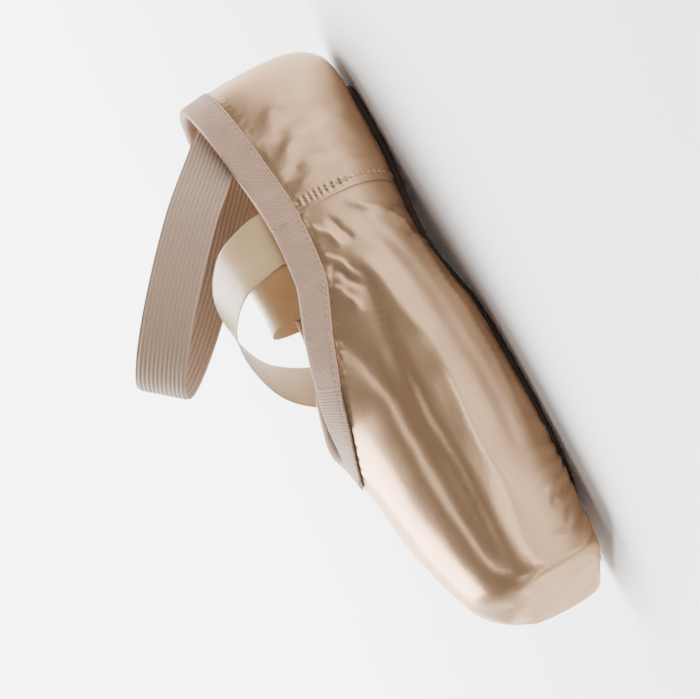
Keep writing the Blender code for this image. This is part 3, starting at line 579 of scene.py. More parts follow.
def fold_field(u, v, arc, seed):
    """Height and shade that the folds give the points of a side."""
    height, shade = np.zeros(u.shape), np.zeros(u.shape)
    chance, along = np.random.default_rng(seed), np.linspace(0, 1, 56)
    for tall, spread, steep, places in FOLDS:
        x, z = np.array(places).T / 1000
        tall, spread = tall / 1000 * chance.uniform(0.8, 1.15), spread / 1000 * chance.uniform(0.85, 1.15)
        x = x + chance.uniform(-0.6, 0.6) * spread
        column = np.abs(u[:, :1] - (FAN_LENGTH + x - HEEL_ROUND)).argmin(axis=0)
        line_arc = [np.interp(share, v[c], arc[c]) for share, c in zip(share_at(x, z), column)]
        rows = np.column_stack((np.linspace(0, 1, len(x)), FAN_LENGTH + x - HEEL_ROUND, line_arc))
        line = np.stack((table(rows, 1, along), table(rows, 2, along)), axis=-1)
        way = unit(np.gradient(line, axis=0))
        sway = spread * 0.22 * np.sin(along * chance.uniform(9, 16) + chance.uniform(0, 6))
        line = line + np.stack((-way[:, 1], way[:, 0]), axis=-1) * sway[:, None]
        low, high = line.min(axis=0) - 3 * spread, line.max(axis=0) + 3 * spread
        near = (u > low[0]) & (u < high[0]) & (arc > low[1]) & (arc < high[1])
        apart = np.stack((u[near], arc[near]), axis=-1)[:, None, :] - line
        squared = (apart ** 2).sum(-1)
        k = squared.argmin(axis=1)
        apart, distance = apart[np.arange(len(k)), k], np.sqrt(squared[np.arange(len(k)), k])
        left = way[k, 0] * apart[:, 1] - way[k, 1] * apart[:, 0] > 0
        fade = smooth(along[k] / 0.22) * smooth((1 - along[k]) / 0.22)
        bell = np.exp(-(distance / np.where(left, spread, spread * steep)) ** 2) * fade
        height[near] += tall * bell
        if tall < 0:
            shade[near] += min(0.45, 0.00045 / spread) * bell
    return height, shade


def sole_past(x, y):
    """How far outside the sole's outline a place lies in plan, and its turn about the toe's pleats."""
    turn, reach = np.arctan2(y, x - PLEAT_CENTRE), np.hypot(x - PLEAT_CENTRE, y)
    ahead = np.linspace(PLEAT_CENTRE - 0.014, HEEL_MARGIN + SOLE_LENGTH, 240)
    half = sole_half_width(ahead)
    edge = np.interp(np.abs(turn), np.arctan2(half, ahead - PLEAT_CENTRE)[::-1],
                     np.hypot(half, ahead - PLEAT_CENTRE)[::-1])
    return np.where(x > PLEAT_CENTRE - 0.010, reach - edge, np.abs(y) - sole_half_width(x)), turn


def pleat_field(past, turn, v):
    """Knife pleats that fan out from the sole's front end and fade up the sides of the box: their height, and
    a painted shade that darkens their valleys.
    """
    bent = turn + 0.07 * np.sin(5 * turn + 1) + 0.035 * np.sin(past * 260 + 9 * turn)
    phase = bent / PLEAT_TURN + 0.5
    share = phase - np.floor(phase)
    strength = 0.68 + 0.32 * np.sin(12.9 * np.floor(phase) + 1)
    fold = np.where(share < 0.76, smooth(share / 0.76), smooth((1 - share) / 0.24))
    fade = (smooth((past + 0.0004) / 0.0022) * (1 - smooth((v - 0.19) / 0.2))
            * (1 - smooth((np.abs(turn) - 1.5) / 0.4)))
    run = 0.009 + 0.004 * np.sin(7.7 * np.floor(phase))
    deep = PLEAT_HEIGHT * (0.25 + 0.75 * np.exp(-np.maximum(past, 0) / run))
    return deep * strength * fade * (fold - 0.42), fade * strength * (1 - fold) ** 3 * 0.5


def from_line(points, line):
    """Distance of points from a line's points, and which of those is the nearest."""
    flat = points.reshape(-1, 3)
    best, index = np.full(len(flat), np.inf), np.zeros(len(flat), int)
    for number, place in enumerate(line):
        squared = ((flat - place) ** 2).sum(-1)
        closer = squared < best
        best[closer], index[closer] = squared[closer], number
    return np.sqrt(best).reshape(points.shape[:-1]), index.reshape(points.shape[:-1])


def half_columns():
    """Places around one side, as u from the platform to the heel back."""
    crown = LENGTH - CROWN_ROUND + CROWN_ROUND * np.sin(np.radians(np.linspace(90, 3, 34)))
    seam = SEAM_PLACE + np.linspace(0.0012, -0.0004, 13)
    toe = np.linspace(crown[-1], 0.200, 40)[1:]
    forward = np.linspace(toe[-1], seam[0], 127)[1:-1]
    stitched = np.linspace(seam[-1], SEAM_STITCHES - 0.0028, 17)[1:]
    rear = np.linspace(stitched[-1], HEEL_ROUND, 34)[1:]
    fan = FAN_LENGTH * (1 - np.arange(1, 49) / 48)
    ribs = np.concatenate((crown, toe, forward, seam, stitched, rear))
    return np.concatenate((FAN_LENGTH + ribs - HEEL_ROUND, fan))


def rib_rows():
    """Shares of the rib for the rows: fixed under the widest place, and 0 to 1 from there to the top."""
    seat, side = np.linspace(0, SEAT_SHARE, 30)[:-1], np.linspace(SEAT_SHARE, WIDEST_SHARE, 38)[:-1]
    return np.concatenate((seat, side)), np.linspace(0, 1, 84)


def rib_grid(columns, edge):
    """u and v for the points of one side."""
    below, above = rib_rows()
    top = np.where(columns > edge[0][0], 1.0, np.interp(columns, edge[0][::-1], edge[1][::-1]))
    v = np.concatenate((np.broadcast_to(below, (len(columns), len(below))),
                        WIDEST_SHARE + (top[:, None] - WIDEST_SHARE) * above), axis=1)
    return np.broadcast_to(columns[:, None], v.shape), v


def satin_relief(points, u, v, arc, topline, side):
    """How far each point of a side stands out, with its wear and its shade."""
    x, y = np.where(u > FAN_LENGTH, HEEL_ROUND + u - FAN_LENGTH, points[..., 0] + MIDDLE), points[..., 1]
    height, shade = fold_field(u, v, arc, 3 if side > 0 else 8)
    height += 0.00016 * ripples(points * (1, 1, 0.5), 0.020, 5) + 0.000012 * ripples(points, 0.006, 6)
    past, turn = sole_past(x, y)
    # The pleats' valleys get a painted shade as well as their height.
    pleat, pleat_shade = pleat_field(past, turn, v)
    height, shade = height + pleat, shade + pleat_shade
    side_wall = smooth((v - SEAT_SHARE) / 0.02)
    row, pull = peak(x, SEAM_STITCHES, 0.0015) * side_wall, peak(x, SEAM_STITCHES, 0.0004) * side_wall
    beat = np.sin(2 * math.pi * arc / SEAM_PITCH + 1.5 * np.sin(arc * 330))
    height += 0.00016 * row * beat - 0.00014 * pull
    shade += 0.3 * pull + 0.16 * row * (1 - beat) / 2
    shade += 0.85 * side_wall * np.where(x > SEAM_PLACE - 0.0001, peak(x, SEAM_PLACE, 0.0008), 0)
    gap, nearest = from_line(points, topline * (1, side, 1))
    along = lengths(topline)[nearest]
    beat = np.sin(2 * math.pi * along / HEM_PITCH + 1.3 * np.sin(along * 210))
    hem = peak(gap, BINDING_WIDTH + 0.0014, 0.0018)
    free = smooth((gap - BINDING_WIDTH + 0.0003) / 0.0008)
    height = (height * smooth((gap - BINDING_WIDTH) / 0.0025) + 0.00014 * hem * beat * free)
    shade = shade * free + 0.5 * peak(gap, BINDING_WIDTH, 0.0006) + 0.12 * hem * (1 - beat) / 2
    height *= np.where(v < 0.17, smooth((past + 0.0002) / 0.0014), 1)
    height *= np.where(u < FAN_LENGTH, smooth((np.abs(y) - STRIP_WIDTH / 2 - 0.0002) / 0.002), 1)
    height *= smooth((LENGTH - x) / 0.0012)
    uneven = ripples(points, 0.012, 21)
    shade += 0.30 * peak(np.maximum(past, 0), 0, 0.0022) * (v < 0.3) + 0.07 * np.maximum(0, uneven)
    wear = smooth((x - WEAR_START + 0.0012 * uneven) / 0.0024)
    wear = np.maximum(wear, np.clip(pleat / 0.0006, 0, 1) * 0.45)
    return height, wear, np.clip(shade, 0, 1)


def make_satin(material, edge):
    columns = half_columns()
    u, v = rib_grid(columns, edge)
    topline = surface(*edge)
    shares = np.array((0, 0.12, 0.24, 0.36, 0.48, 0.6, 0.7, 0.79, 0.87, 0.93, 0.97, 0.992))[:, None]
    halves = []
    for side in (1, -1):
        points, out = surface(side * u, v), normal(side * u, v)
        out[(v < 0.002) & (u < FAN_LENGTH)] = (0, 0, -1)
        arc = lengths(points.swapaxes(0, 1)).T
        height, wear, shade = satin_relief(points, u, v, arc, topline, side)
        points = points + out * height[..., None]
        ring = points[0]
        end = np.empty((len(shares), *ring.shape))
        end[..., 1] = ring[:, 1] * shares
        end[..., 2] = PLATFORM_MIDDLE + (ring[:, 2] - PLATFORM_MIDDLE) * shares
        end[..., 0] = ring[:, 0] + 0.0005 * (1 - shares ** 2)
        end[..., 0] += 0.00014 * ripples(end, 0.009, 9) * (1 - shares)
        uv = np.stack((side * u, arc), axis=-1)
        end_uv = np.stack((0.3 + end[..., 1], end[..., 2]), axis=-1)
        uneven = ripples(end, 0.008, 12)
        halves.append([np.concatenate(pair) for pair in (
            (end, points), (end_uv, uv), (1 - 0.18 * np.maximum(0, uneven), wear),
            (0.16 * np.maximum(0, -uneven) * shares, shade))])
    grid, uv, wear, shade = (np.concatenate((left, right[::-1][1:])) for left, right in zip(*halves))
    piece = grid_piece("upper_satin", grid, uv, merge=4e-6, attributes={"wear": wear, "shade": shade})
    return finish_piece(piece, material, "satin", "upper")


def stitch_row(line, outs, pitch, first, last=0.0):
    """Centres, ways and outward ways of even stitches along an open line."""
    arc = lengths(line)
    places = np.arange(first, arc[-1] - last, pitch)
    centres = at_arc(places, arc, line)
    ahead = at_arc(np.minimum(places + 0.0003, arc[-1]), arc, line)
    return centres, unit(ahead - centres), unit(at_arc(places, arc, outs))


def joined(rows):
    """One set of centres, ways and outward ways from several stitch rows."""
    return [np.concatenate(kind) for kind in zip(*rows)]


def make_seam_stitches(edge, material):
    """The row behind each side seam."""
    rows = []
    u = FAN_LENGTH + SEAM_STITCHES - HEEL_ROUND
    top = np.interp(u, edge[0][::-1], edge[1][::-1])
    v = np.linspace(SEAT_SHARE + 0.03, top, 120)
    for side in (1, -1):
        line, out = surface(side * u, v), normal(side * u, v)
        rows.append(stitch_row(line + out * 0.00008, out, SEAM_PITCH, 0.0, BINDING_WIDTH))
    beads("side_seam_stitches", *joined(rows), 0.0017, STITCH_WIDTH, material, "satin")


def collar_strip(edge, first, last, across, profile):
    """The casing over the topline: one grid around it, between two places from the heel back.

    across lists distances below the edge, profile the thickness there; both go from the lower edge up.
    """
    u, v = edge
    points = surface(u, v)
    out = normal(u, v)
    tangent = np.empty_like(points)
    tangent[1:-1] = points[2:] - points[:-2]
    tangent[0], tangent[-1] = (0, 1, 0), (0, -1, 0)
    heading = unit(np.cross(tangent, out))
    heading[0] = unit(surface(u[0] + 1e-5, 1.0) - points[0])
    outer, inner, outs = [], [], []
    for distance, height in zip(across, profile):
        at = walk(u, v, heading, distance)
        raised = normal(*at)
        outs.append(raised)
        outer.append(surface(*at) + raised * (CLEARANCE + height))
        inner.append(surface(*at, CLEARANCE + height, True))
    middle, arm = (outer[-1] + inner[-1]) / 2, (outer[-1] - inner[-1]) / 2
    lift = -heading * np.linalg.norm(arm, axis=-1, keepdims=True) * 0.8
    rim = [middle + arm * math.cos(turn) + lift * math.sin(turn) for turn in np.linspace(0, math.pi, 8)[1:-1]]
    half = np.stack(outer + rim + inner[::-1], axis=1)
    half[0, :, 1] = half[-1, :, 1] = 0.0
    whole = np.concatenate((half, half[::-1][1:-1] * (1, -1, 1)))
    arc = lengths(points)
    arcs = np.concatenate((arc, 2 * arc[-1] - arc[::-1][1:-1]))
    spread = np.concatenate((-np.asarray(across), np.linspace(0, 0.003, len(rim) + 2)[1:-1],
                             0.003 + np.asarray(across)[::-1]))
    uv = plane(arcs[:, None], spread)
    outs = np.stack(outs, axis=1)
    outs = np.concatenate((outs, outs[::-1][1:-1] * (1, -1, 1)))
    x = np.concatenate((points, points[::-1][1:-1]))[:, 0] + MIDDLE
    pick = np.where((x >= first) & (x <= last))[0]
    if first <= 0:
        return whole[pick], uv[pick], outs[pick]
    order = np.argsort((pick + len(x) // 2) % len(x))
    uv[pick[pick < len(x) // 2], 0] += 2 * arc[-1]
    return whole[pick[order]], uv[pick[order]], outs[pick[order]]


def make_casing(edge, twill, ribbed, thread):
    """The binding, its elastic length at the throat, and their stitches."""
    join = THROAT_TIP - THROAT_ELASTIC_LENGTH
    across = np.array((10.5, 10.45, 10.3, 10.0, 9.6, 9.2, 8.8, *range(8, -1, -1))) / 1000
    profile = np.array((0.0, 0.45, 0.75, 0.88, 0.82, 0.66, 0.82, *(0.9,) * 9))
    profile = profile * BINDING_THICKNESS / 0.9 - 0.1 * CLEARANCE
    groove = int(np.argmin(np.abs(across - BINDING_STITCHES)))
    rows = []
    for name, first, last, thin, material, slot, node in (
            ("collar_twill_binding", -1.0, join + 0.0002, 1.0, twill, "twill", "collar_binding"),
            ("throat_ribbed_elastic", join - 0.0014, 1.0, 0.93, ribbed, "ribbed_elastic", "throat_elastic")):
        grid, uv, outs = collar_strip(edge, first, last, across, profile * thin)
        along, below = uv[..., 0], uv[..., 1]
        pucker = np.sin(2 * math.pi * along / BINDING_PITCH) * peak(below, -BINDING_STITCHES, 0.0012)
        grid[:, :len(across)] += outs * (0.00007 * pucker[:, :len(across), None])
        shade = (peak(np.abs(below), BINDING_STITCHES, 0.0005) * 0.4
                 + 0.12 * np.maximum(0, ripples(grid, 0.012, 31)))
        piece = grid_piece(name, grid, uv, attributes={"shade": shade}, capped=True)
        finish_piece(piece, material, slot, node)
        rows.append(stitch_row(grid[:, groove], outs[:, groove], BINDING_PITCH, BINDING_PITCH / 2))
        if thin == 1.0:
            for end in (0, -1):
                rows.append(stitch_row(grid[end, 1:len(across)] + outs[end, 1:] * 0.0001, outs[end, 1:],
                                       0.0012, 0.0008))
        else:
            tip = len(grid) // 2
            for shift in range(-2, 3):
                line = grid[tip + shift, 1:4] + (0.0006, 0.00045 * shift, 0.0003)
                line = line - (0.0006, 0, 0) * np.arange(3)[:, None]
                rows.append(stitch_row(line, outs[tip, 1:4], 0.0012, 0.0004))
    beads("binding_stitches", *joined(rows), 0.0018, STITCH_WIDTH, thread, "twill")


def make_lining(edge, material):
    columns = half_columns()[::3]
    u, v = rib_grid(columns, edge)
    u, v = u[:, ::3], v[:, ::3]
    grid = np.concatenate((surface(u, v, 0.0, True), surface(-u, v, 0.0, True)[::-1][1:]))
    arc = lengths(grid.swapaxes(0, 1)).T
    uv = np.stack((np.concatenate((u, -u[::-1][1:])), arc), axis=-1)
    shade = smooth((grid[..., 0] - 0.02) / 0.08) * 0.5
    piece = grid_piece("upper_lining", grid, uv, merge=1e-6, attributes={"shade": shade})
    return finish_piece(piece, material, "sock_lining")


def sole_half_width(x):
    return SOLE_WIDTH * table(SOLE_OUTLINE, 1, (x - HEEL_MARGIN) / SOLE_LENGTH) / 2


def sole_rings(distances):
    """The sole's outline as closed rings, each moved in from it by a distance: x and y for each point."""
    x = HEEL_MARGIN + SOLE_LENGTH * (1 - np.cos(np.linspace(0, math.pi, 600))) / 2
    left = np.stack((x, sole_half_width(x)), axis=-1)
    left = np.concatenate((left[:1] * (1, 0), left, left[-1:] * (1, 0)))
    arc = lengths(left)
    left = at_arc(np.linspace(0, arc[-1], SOLE_STEPS + 1), arc, left)
    loop = np.concatenate((left, left[-2:0:-1] * (1, -1)))
    tangent = unit(np.roll(loop, -1, axis=0) - np.roll(loop, 1, axis=0))
    for _ in range(5):
        tangent = unit(np.roll(tangent, 1, axis=0) + 2 * tangent + np.roll(tangent, -1, axis=0))
    inward = np.stack((tangent[:, 1], -tangent[:, 0]), axis=-1)
    return [loop + inward * distance for distance in distances]


def make_outsole(material, thread, hole_shade):
    """The sole with its stitch channel, stitches and the marks of the scored lattice."""
    inset = np.array((0.0, 0.05, 0.25, 0.6, 1.2, 2.2, 3.2, 3.6, 3.8, 4.0, 4.2, 4.4, 4.8, 5.3, 5.8)) / 1000
    depth = np.array((0.0, 0.0, 0.0, 0.0, 0.0, 0.0, 0.0, 0.08, 0.28, 0.34, 0.28, 0.08, 0.0, 0.0, 0.0)) / 1000
    rounded = np.array((0.6, 0.3, 0.1, 0.02, 0.0)) / 1000
    rings = sole_rings(inset)
    count = len(rings[0])
    points, distance = [], []

    def lay(ring, height, inward):
        points.append(np.column_stack((ring[:, 0] - MIDDLE, ring[:, 1], rise(ring[:, 0]) + height)))
        distance.append(np.full(count, inward))

    lay(sole_rings([0.004])[0], SOLE_THICKNESS, 0.0)
    for height in (2.5, 2.35, 2.0, 1.6, 1.2, 0.9):
        lay(sole_rings([0.0004 if height == 2.5 else 0.0])[0], height / 1000, 0.0)
    for index, ring in enumerate(rings):
        lay(ring, (rounded[index] if index < len(rounded) else 0.0) + depth[index], inset[index])
    half = count // 2
    core = rings[-1]
    for i in range(1, half):
        share = np.linspace(0, 1, SOLE_CORE + 2)[1:-1, None]
        row = core[i] * (1 - share) + core[count - i] * share
        points.append(np.column_stack((row[:, 0] - MIDDLE, row[:, 1], rise(row[:, 0]))))
        distance.append(np.full(SOLE_CORE, 0.012))
    rows = 7 + len(rings)
    faces = [tuple(f) for f in grid_faces(rows, count, wrap=True)]
    first, base = rows * count, (rows - 1) * count
    crossings = [[base + i, *range(first + (i - 1) * SOLE_CORE, first + i * SOLE_CORE), base + count - i]
                 for i in range(1, half)]
    for here, there in zip(crossings, crossings[1:]):
        faces += [(here[k], there[k], there[k + 1], here[k + 1]) for k in range(SOLE_CORE + 1)]
    for end, row in ((base, crossings[0]), (base + half, crossings[-1])):
        faces += [(end, row[k], row[k + 1]) for k in range(SOLE_CORE + 1)]
    points, distance = np.concatenate(points), np.concatenate(distance)
    x, y = points[:, 0] + MIDDLE, points[:, 1]
    ahead = x - LATTICE_START - LATTICE_SLANT * np.abs(y)
    lattice = smooth((distance - 0.0052) / 0.0006) * smooth(ahead / 0.001)
    shade = np.clip(1 - distance / 0.0016, 0, 1) * 0.85 + peak(distance, STITCH_INSET, 0.0005) * 0.4
    sole = mesh_piece("outsole_leatherboard", points, faces, points[:, :2],
                      {"lattice": lattice, "shade": np.clip(shade, 0, 1)}, merge=1e-6)
    finish_piece(sole, material, "leatherboard", "outsole")
    make_sole_stitches(sole_rings([STITCH_INSET])[0], thread, hole_shade)


def along_loop(loop, spacing):
    """Even places around a closed loop: points and unit ways."""
    closed = np.concatenate((loop, loop[:1]))
    arc = lengths(closed)
    places = np.linspace(0, arc[-1], round(arc[-1] / spacing) + 1)[:-1]
    at = at_arc(places, arc, closed)
    return at, unit(at_arc((places + 2e-4) % arc[-1], arc, closed) - at)


def beads(name, centres, ways, outs, length, width, material, slot, height=None):
    """Many small rounded bars, as stitches are, in one object."""
    height = height or width
    ring, points, faces = 8, [], []
    sections = ((-0.5, 0.25), (-0.36, 0.85), (0.0, 1.0), (0.36, 0.85), (0.5, 0.25))
    for centre, way, out in zip(centres, ways, outs):
        side, start = np.cross(out, way), len(points)
        for along, grow in sections:
            for k in range(ring):
                turn = 2 * math.pi * k / ring
                points.append(centre + way * along * length + side * math.cos(turn) * width / 2 * grow
                              + out * math.sin(turn) * height / 2 * grow)
        faces += [tuple(f) for f in grid_faces(len(sections), ring, True, start)]
        faces += [tuple(range(end, end + ring)) for end in (start, start + (len(sections) - 1) * ring)]
    piece = mesh_piece(name, points, faces)
    return finish_piece(piece, material, slot)


def make_sole_stitches(loop, thread, hole_shade):
    at, way = along_loop(loop, SOLE_STITCH_PITCH)
    down = np.broadcast_to((0.0, 0.0, -1.0), (len(at), 3))
    ways = np.column_stack((way, np.zeros(len(at))))
    height = rise(at[:, 0]) + 0.0002
    centres = np.column_stack((at[:, 0] - MIDDLE, at[:, 1], height))
    beads("sole_stitches", centres, ways, down, 0.0031, 0.00075, thread, "leatherboard", 0.0005)
    # Near-black beads at each stitch's end stand in for the shade inside the stitch holes: painted shade.
    ends = centres + ways * SOLE_STITCH_PITCH / 2
    beads("sole_painted_hole_shades", ends, ways, down, 0.0009, 0.0008, hole_shade, "leatherboard", 0.0003)


def make_insole(material):
    last = INSOLE_HEEL_MARGIN + INSOLE_LENGTH
    x = INSOLE_HEEL_MARGIN + INSOLE_LENGTH * (1 - np.cos(np.linspace(0, math.pi, 110))) / 2
    seat = surface(FAN_LENGTH + np.maximum(0, x - HEEL_ROUND), SEAT_SHARE, CLEARANCE, True)[:, 1]
    past = np.maximum(np.maximum((HEEL_ROUND - x) / (HEEL_ROUND - INSOLE_HEEL_MARGIN),
                                 1 - (last - x) / 0.027), 0)
    half = seat * np.sqrt(np.maximum(0.02, 1 - past ** 2))
    low = seat_height(x) + wall(x) + CLEARANCE
    grid = []
    for share in np.array((-1.0, -1.0, -0.98, -0.8, -0.4, 0.0, 0.4, 0.8, 0.98, 1.0, 1.0)):
        lift = np.full_like(x, INSOLE_THICKNESS) if abs(share) < 0.99 else np.full_like(x, 0.0)
        grid.append(np.column_stack((x - MIDDLE, half * share, low + lift)))
    grid = np.stack(grid, axis=1)
    grid[:, 1, 2] = grid[:, -2, 2] = low + INSOLE_THICKNESS * 0.8
    shade = 0.35 * smooth((np.broadcast_to(x[:, None], grid.shape[:2]) - 0.13) / 0.08)
    piece = grid_piece("insole_sock", grid, grid[..., :2], attributes={"shade": shade})
    return finish_piece(piece, material, "sock_lining", "insole")


def make_heel_strip(edge, material, thread):
    """The back strip, from the binding down and under to the sole, with a stitch line along each edge."""
    half, top_z = STRIP_WIDTH / 2, surface(0.0, edge[1][-1])[2] - BINDING_WIDTH + 0.0002
    across = np.array((7.7, 7.66, 7.45, 7.0, 6.2, 5.6, 5.2, 4.8, 4.2, 3, 1.5, 0)) / 1000 * half / 0.0077
    across = np.concatenate((-across[:-1], across[::-1]))
    height = np.array((0.0, 0.4, 0.7, 0.8, 0.76, 0.66, 0.56, 0.66, 0.78, 0.8, 0.8, 0.8))
    height = np.concatenate((height, height[-2::-1])) * STRIP_THICKNESS / 0.8
    shares = np.concatenate((np.linspace(0.015, SEAT_SHARE, 60), np.linspace(SEAT_SHARE, 0.75, 260)[1:]))
    spread = np.abs(surface(FAN_LENGTH, shares)[:, 1])
    columns, arcs = [], []
    for y, thick in zip(across, height):
        turn = np.arcsin(np.clip(y / np.maximum(spread, 1e-6), -0.999, 0.999))
        u = turn / (math.pi / 2) * FAN_LENGTH
        line = surface(u, shares) + normal(u, shares) * (CLEARANCE + thick)
        keep = (line[:, 0] + MIDDLE < HEEL_MARGIN - CLEARANCE) & (line[:, 2] < top_z)
        line = line[keep]
        arc = lengths(line)
        arcs.append(np.linspace(0, arc[-1], 110))
        columns.append(at_arc(arcs[-1], arc, line))
    grid = np.stack(columns, axis=1)
    grid[..., 1] = across
    uv = plane(np.stack(arcs, axis=1), across)
    shade = peak(np.abs(uv[..., 1]), 0.0052, 0.0005) * 0.6
    piece = grid_piece("heel_back_strip", grid, uv, attributes={"shade": shade})
    finish_piece(piece, material, "matte_satin", "heel_strip")
    rows = []
    for column in (6, 16):
        line = grid[:, column]
        out = unit(np.cross(np.gradient(line, axis=0), (0.0, 1.0, 0.0)))
        out *= np.sign((out * (line - (HEEL_ROUND - MIDDLE, 0, WIDEST_HEIGHT))).sum(-1))[:, None]
        rows.append(stitch_row(line, out, 0.0026, 0.002, 0.001))
    beads("heel_strip_stitches", *joined(rows), 0.0018, STITCH_WIDTH, thread, "matte_satin")


def ribbed_band(name, centres, across, width, thickness, columns, ripple, material, slot, node):
    """A closed flat band along a route, with its ribs or ripples, as one grid around it."""
    centres, across = np.asarray(centres), np.asarray(across)
    tangent = unit(np.gradient(centres, axis=0))
    wide = unit(across - tangent * (across * tangent).sum(-1, keepdims=True))
    thick = np.cross(tangent, wide)
    share = np.linspace(-1, 1, columns)
    arc = lengths(centres)
    body = np.minimum(1, 6 * (1 - np.abs(share))) ** 0.5
    front, back = [], []
    for s, b in zip(share, body):
        lift = ripple(arc, s)
        middle = centres + wide * (s * width / 2) + thick * lift[0][:, None]
        front.append(middle + thick * ((thickness / 2 * b + lift[1]))[:, None])
        back.append(middle - thick * ((thickness / 2 * b + lift[1]))[:, None])
    grid = np.stack(front + back[::-1], axis=1)
    spread = np.concatenate((share, share[::-1] + 4)) * width / 2
    uv = plane(spread, arc[:, None])
    shade = np.concatenate((np.abs(share) ** 12, np.abs(share[::-1]) ** 12)) * 0.35
    piece = grid_piece(name, grid, uv, wrap=True, capped=True,
                       attributes={"shade": np.broadcast_to(shade, grid.shape[:2])})
    return finish_piece(piece, material, slot, node)


def make_ankle_elastic(material):
    way = np.array((math.cos(ELASTIC_LEAN), 0, math.sin(ELASTIC_LEAN)))
    upright = np.array((-math.sin(ELASTIC_LEAN), 0, math.cos(ELASTIC_LEAN)))
    height = HEEL_HEIGHT * table(TOPLINE, 1, ELASTIC_PLACE / LENGTH)
    start = np.array((ELASTIC_PLACE - MIDDLE, 0, height))
    under = 2 * CLEARANCE + BINDING_THICKNESS
    inner = surface(FAN_LENGTH, topline_share(np.array(ELASTIC_PLACE)), under, True)
    sewn_gap = inner[1] - ELASTIC_THICKNESS - 2 * CLEARANCE
    straight = ELASTIC_REACH - ELASTIC_ARCH
    share = np.linspace(0, 1, 61)[:-1]
    distance = -ELASTIC_SEWN + (ELASTIC_SEWN + straight) * share
    gap = (sewn_gap + (ELASTIC_HALF_GAP - sewn_gap) * smooth(np.maximum(0, distance) / straight)
           + ELASTIC_TUCK * np.minimum(0, distance))
    twist = ELASTIC_TWIST * (1 - smooth(share / ELASTIC_UPRIGHT))
    turn = math.pi / 2 * np.linspace(0, 1, 50)
    distance = np.concatenate((distance, straight + ELASTIC_ARCH * np.sin(turn)))
    gap = np.concatenate((gap, ELASTIC_HALF_GAP * np.cos(turn)))
    twist = np.concatenate((twist, np.zeros(50)))
    sign = np.concatenate((np.ones(110), -np.ones(109)))
    distance, gap = np.concatenate((distance, distance[-2::-1])), np.concatenate((gap, gap[-2::-1]))
    twist = np.concatenate((twist, twist[-2::-1]))
    centres = start + distance[:, None] * way + np.column_stack((0 * gap, sign * gap, 0 * gap))
    across = upright + np.column_stack((0 * gap, -sign * twist, 0 * gap))

    def ripple(arc, s):
        return 0 * arc, np.full_like(arc, 0.00012 * math.cos(12 * math.pi * (s + 1)) - 0.00012)

    return ribbed_band("ankle_ribbed_elastic", centres, across, ELASTIC_WIDTH, ELASTIC_THICKNESS, 97, ripple,
                       material, "ribbed_elastic", "ankle_elastic")


def make_ribbon(name, route, material, node, seed):
    rows = np.array(route, float)
    places = rows[:, :3] * (LENGTH, BALL_WIDTH, HEEL_HEIGHT) - (MIDDLE, 0, 0)
    centres, headings = [], []
    for i in range(len(places) - 1):
        before, here, there = places[max(0, i - 1)], places[i], places[i + 1]
        after = places[min(len(places) - 1, i + 2)]
        for t in np.arange(0, 1, RIBBON_STEP):
            centres.append(0.5 * (2 * here + (there - before) * t
                                  + (2 * before - 5 * here + 4 * there - after) * t ** 2
                                  + (3 * here - before - 3 * there + after) * t ** 3))
            headings.append(math.radians(rows[i, 3] * (1 - t) + rows[i + 1, 3] * t))
    centres, headings = np.array(centres + [places[-1]]), np.array(headings + [math.radians(rows[-1, 3])])
    across = np.column_stack((-np.sin(headings), np.cos(headings), 0 * headings))
    free = smooth((0.004 - centres[:, 2]) / 0.003)

    def ripple(arc, s):
        wave = 0.0009 * np.sin(arc * 55 + seed) * s + 0.0006 * np.sin(arc * 31 + 2 * seed) * s * s
        lift = np.abs(wave) * free * 0.9 + 0.0007 * (1 - free) * (s * s - 0.4)
        return lift, np.full_like(arc, 0.00008 * (abs(s) > 0.93))

    piece = ribbed_band(name, centres, across, RIBBON_WIDTH, RIBBON_THICKNESS, 25, ripple, material,
                        "ribbon_satin", node)
    return piece


def softbox(name, place, aim, size, power):
    light = bpy.data.lights.new(name, "AREA")
    light.shape, light.size, light.size_y = "RECTANGLE", *size
    light.energy = power
    holder = bpy.data.objects.new(name, light)
    holder.location = place
    holder.rotation_euler = (Vector(aim) - Vector(place)).to_track_quat("-Z", "Y").to_euler()
    bpy.context.scene.collection.objects.link(holder)


def make_stage():
    """A pale sweep: the floor, which curves up into a wall behind the shoe."""
    ahead = Vector((-math.sin(AZIMUTH), math.cos(AZIMUTH), 0))
    right = Vector((math.cos(AZIMUTH), math.sin(AZIMUTH), 0))
    bend = np.radians(np.linspace(0, 90, 25))
    run = np.concatenate(([-6.0, -1.0, 0.0, 0.6], 1.1 + 1.2 * np.sin(bend), [2.3]))
    climb = np.concatenate((np.zeros(4), 1.2 * (1 - np.cos(bend)), [4.5])) - 0.0002
    ahead, right = np.array(ahead), np.array(right)
    grid = np.stack([np.stack([ahead * r + right * w + (0, 0, c) for w in (-5, -2, 0, 2, 5)])
                     for r, c in zip(run, climb)])
    floor = grid_piece("floor", grid)
    shader = Shader("floor", 0.6)
    cloud = shader.cloud(3.0)
    shader.colour(shader.ramp(cloud, (0.3, (0.94, 0.94, 0.94)), (0.7, (0.96, 0.96, 0.96))))
    floor.data.materials.append(shader.material)
    world = bpy.data.worlds.new("studio")
    world.use_nodes = True
    world.node_tree.nodes["Background"].inputs["Color"].default_value = (0.92, 0.95, 1.0, 1)
    world.node_tree.nodes["Background"].inputs["Strength"].default_value = 0.07
    bpy.context.scene.world = world
    for row in LIGHTS:
        softbox(*row)


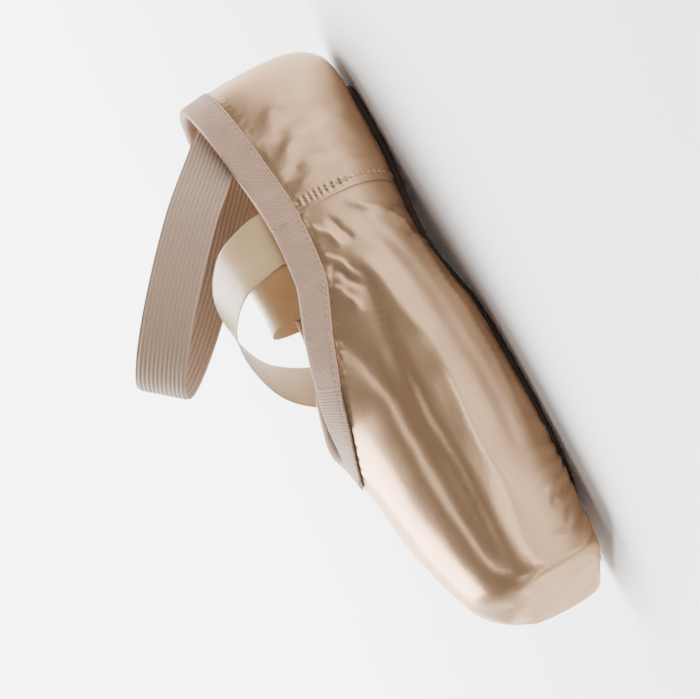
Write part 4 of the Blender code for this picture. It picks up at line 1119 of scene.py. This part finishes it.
def set_camera():
    target = Vector((0.0, 0.0, CAMERA_HEIGHT))
    back = Vector((math.sin(AZIMUTH) * math.cos(ELEVATION), -math.cos(AZIMUTH) * math.cos(ELEVATION),
                   math.sin(ELEVATION)))
    right = Vector((math.cos(AZIMUTH), math.sin(AZIMUTH), 0))
    up = back.cross(right)
    sine, cosine = math.sin(ROLL), math.cos(ROLL)
    turned = Matrix((right * cosine - up * sine, right * sine + up * cosine, back)).transposed().to_4x4()
    camera = bpy.data.objects.new("camera", bpy.data.cameras.new("camera"))
    camera.data.lens, camera.data.sensor_width = LENS, 36
    camera.matrix_world = Matrix.Translation(target + back * CAMERA_DISTANCE) @ turned
    bpy.context.scene.collection.objects.link(camera)
    bpy.context.scene.camera = camera


def main():
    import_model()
    set_camera()
    make_stage()
    edge = collar_edge()
    thread = cloth_material("thread", (0.62, 0.47, 0.33), (0.50, 0.36, 0.24), weave=0.0002)
    # The near-black stitch-hole colour is painted shade for the inside of the holes.
    hole_shade = plain_material("painted_hole_shade", (0.020, 0.012, 0.008), 0.9)
    lining = cloth_material("lining_cotton", (0.60, 0.48, 0.355), (0.48, 0.36, 0.25))
    # The second colour of each elastic is the painted shade of its rib valleys.
    ribbed = ribbed_material("throat_elastic_ribs", (0.47, 0.30, 0.205), (0.24, 0.145, 0.092), 0, 0.00105)
    loop = ribbed_material("ankle_elastic_ribs", (0.40, 0.272, 0.182), (0.22, 0.14, 0.088), 0, 0.00158)
    strip = cloth_material("heel_strip_satin", (0.47, 0.312, 0.195), (0.39, 0.25, 0.15), 0.5, 0.0004, 0.4)
    ribbon = ribbon_material()
    make_satin(satin_material(), edge)
    make_lining(edge, lining)
    make_casing(edge, twill_material(), ribbed, thread)
    make_seam_stitches(edge, thread)
    make_heel_strip(edge, strip, thread)
    make_outsole(sole_material(), thread, hole_shade)
    make_insole(lining)
    make_ankle_elastic(loop)
    make_ribbon("ribbon_left_satin", RIBBON_LEFT_ROUTE, ribbon, "ribbon_left", 1.0)
    make_ribbon("ribbon_right_satin", RIBBON_RIGHT_ROUTE, ribbon, "ribbon_right", 2.6)


main()
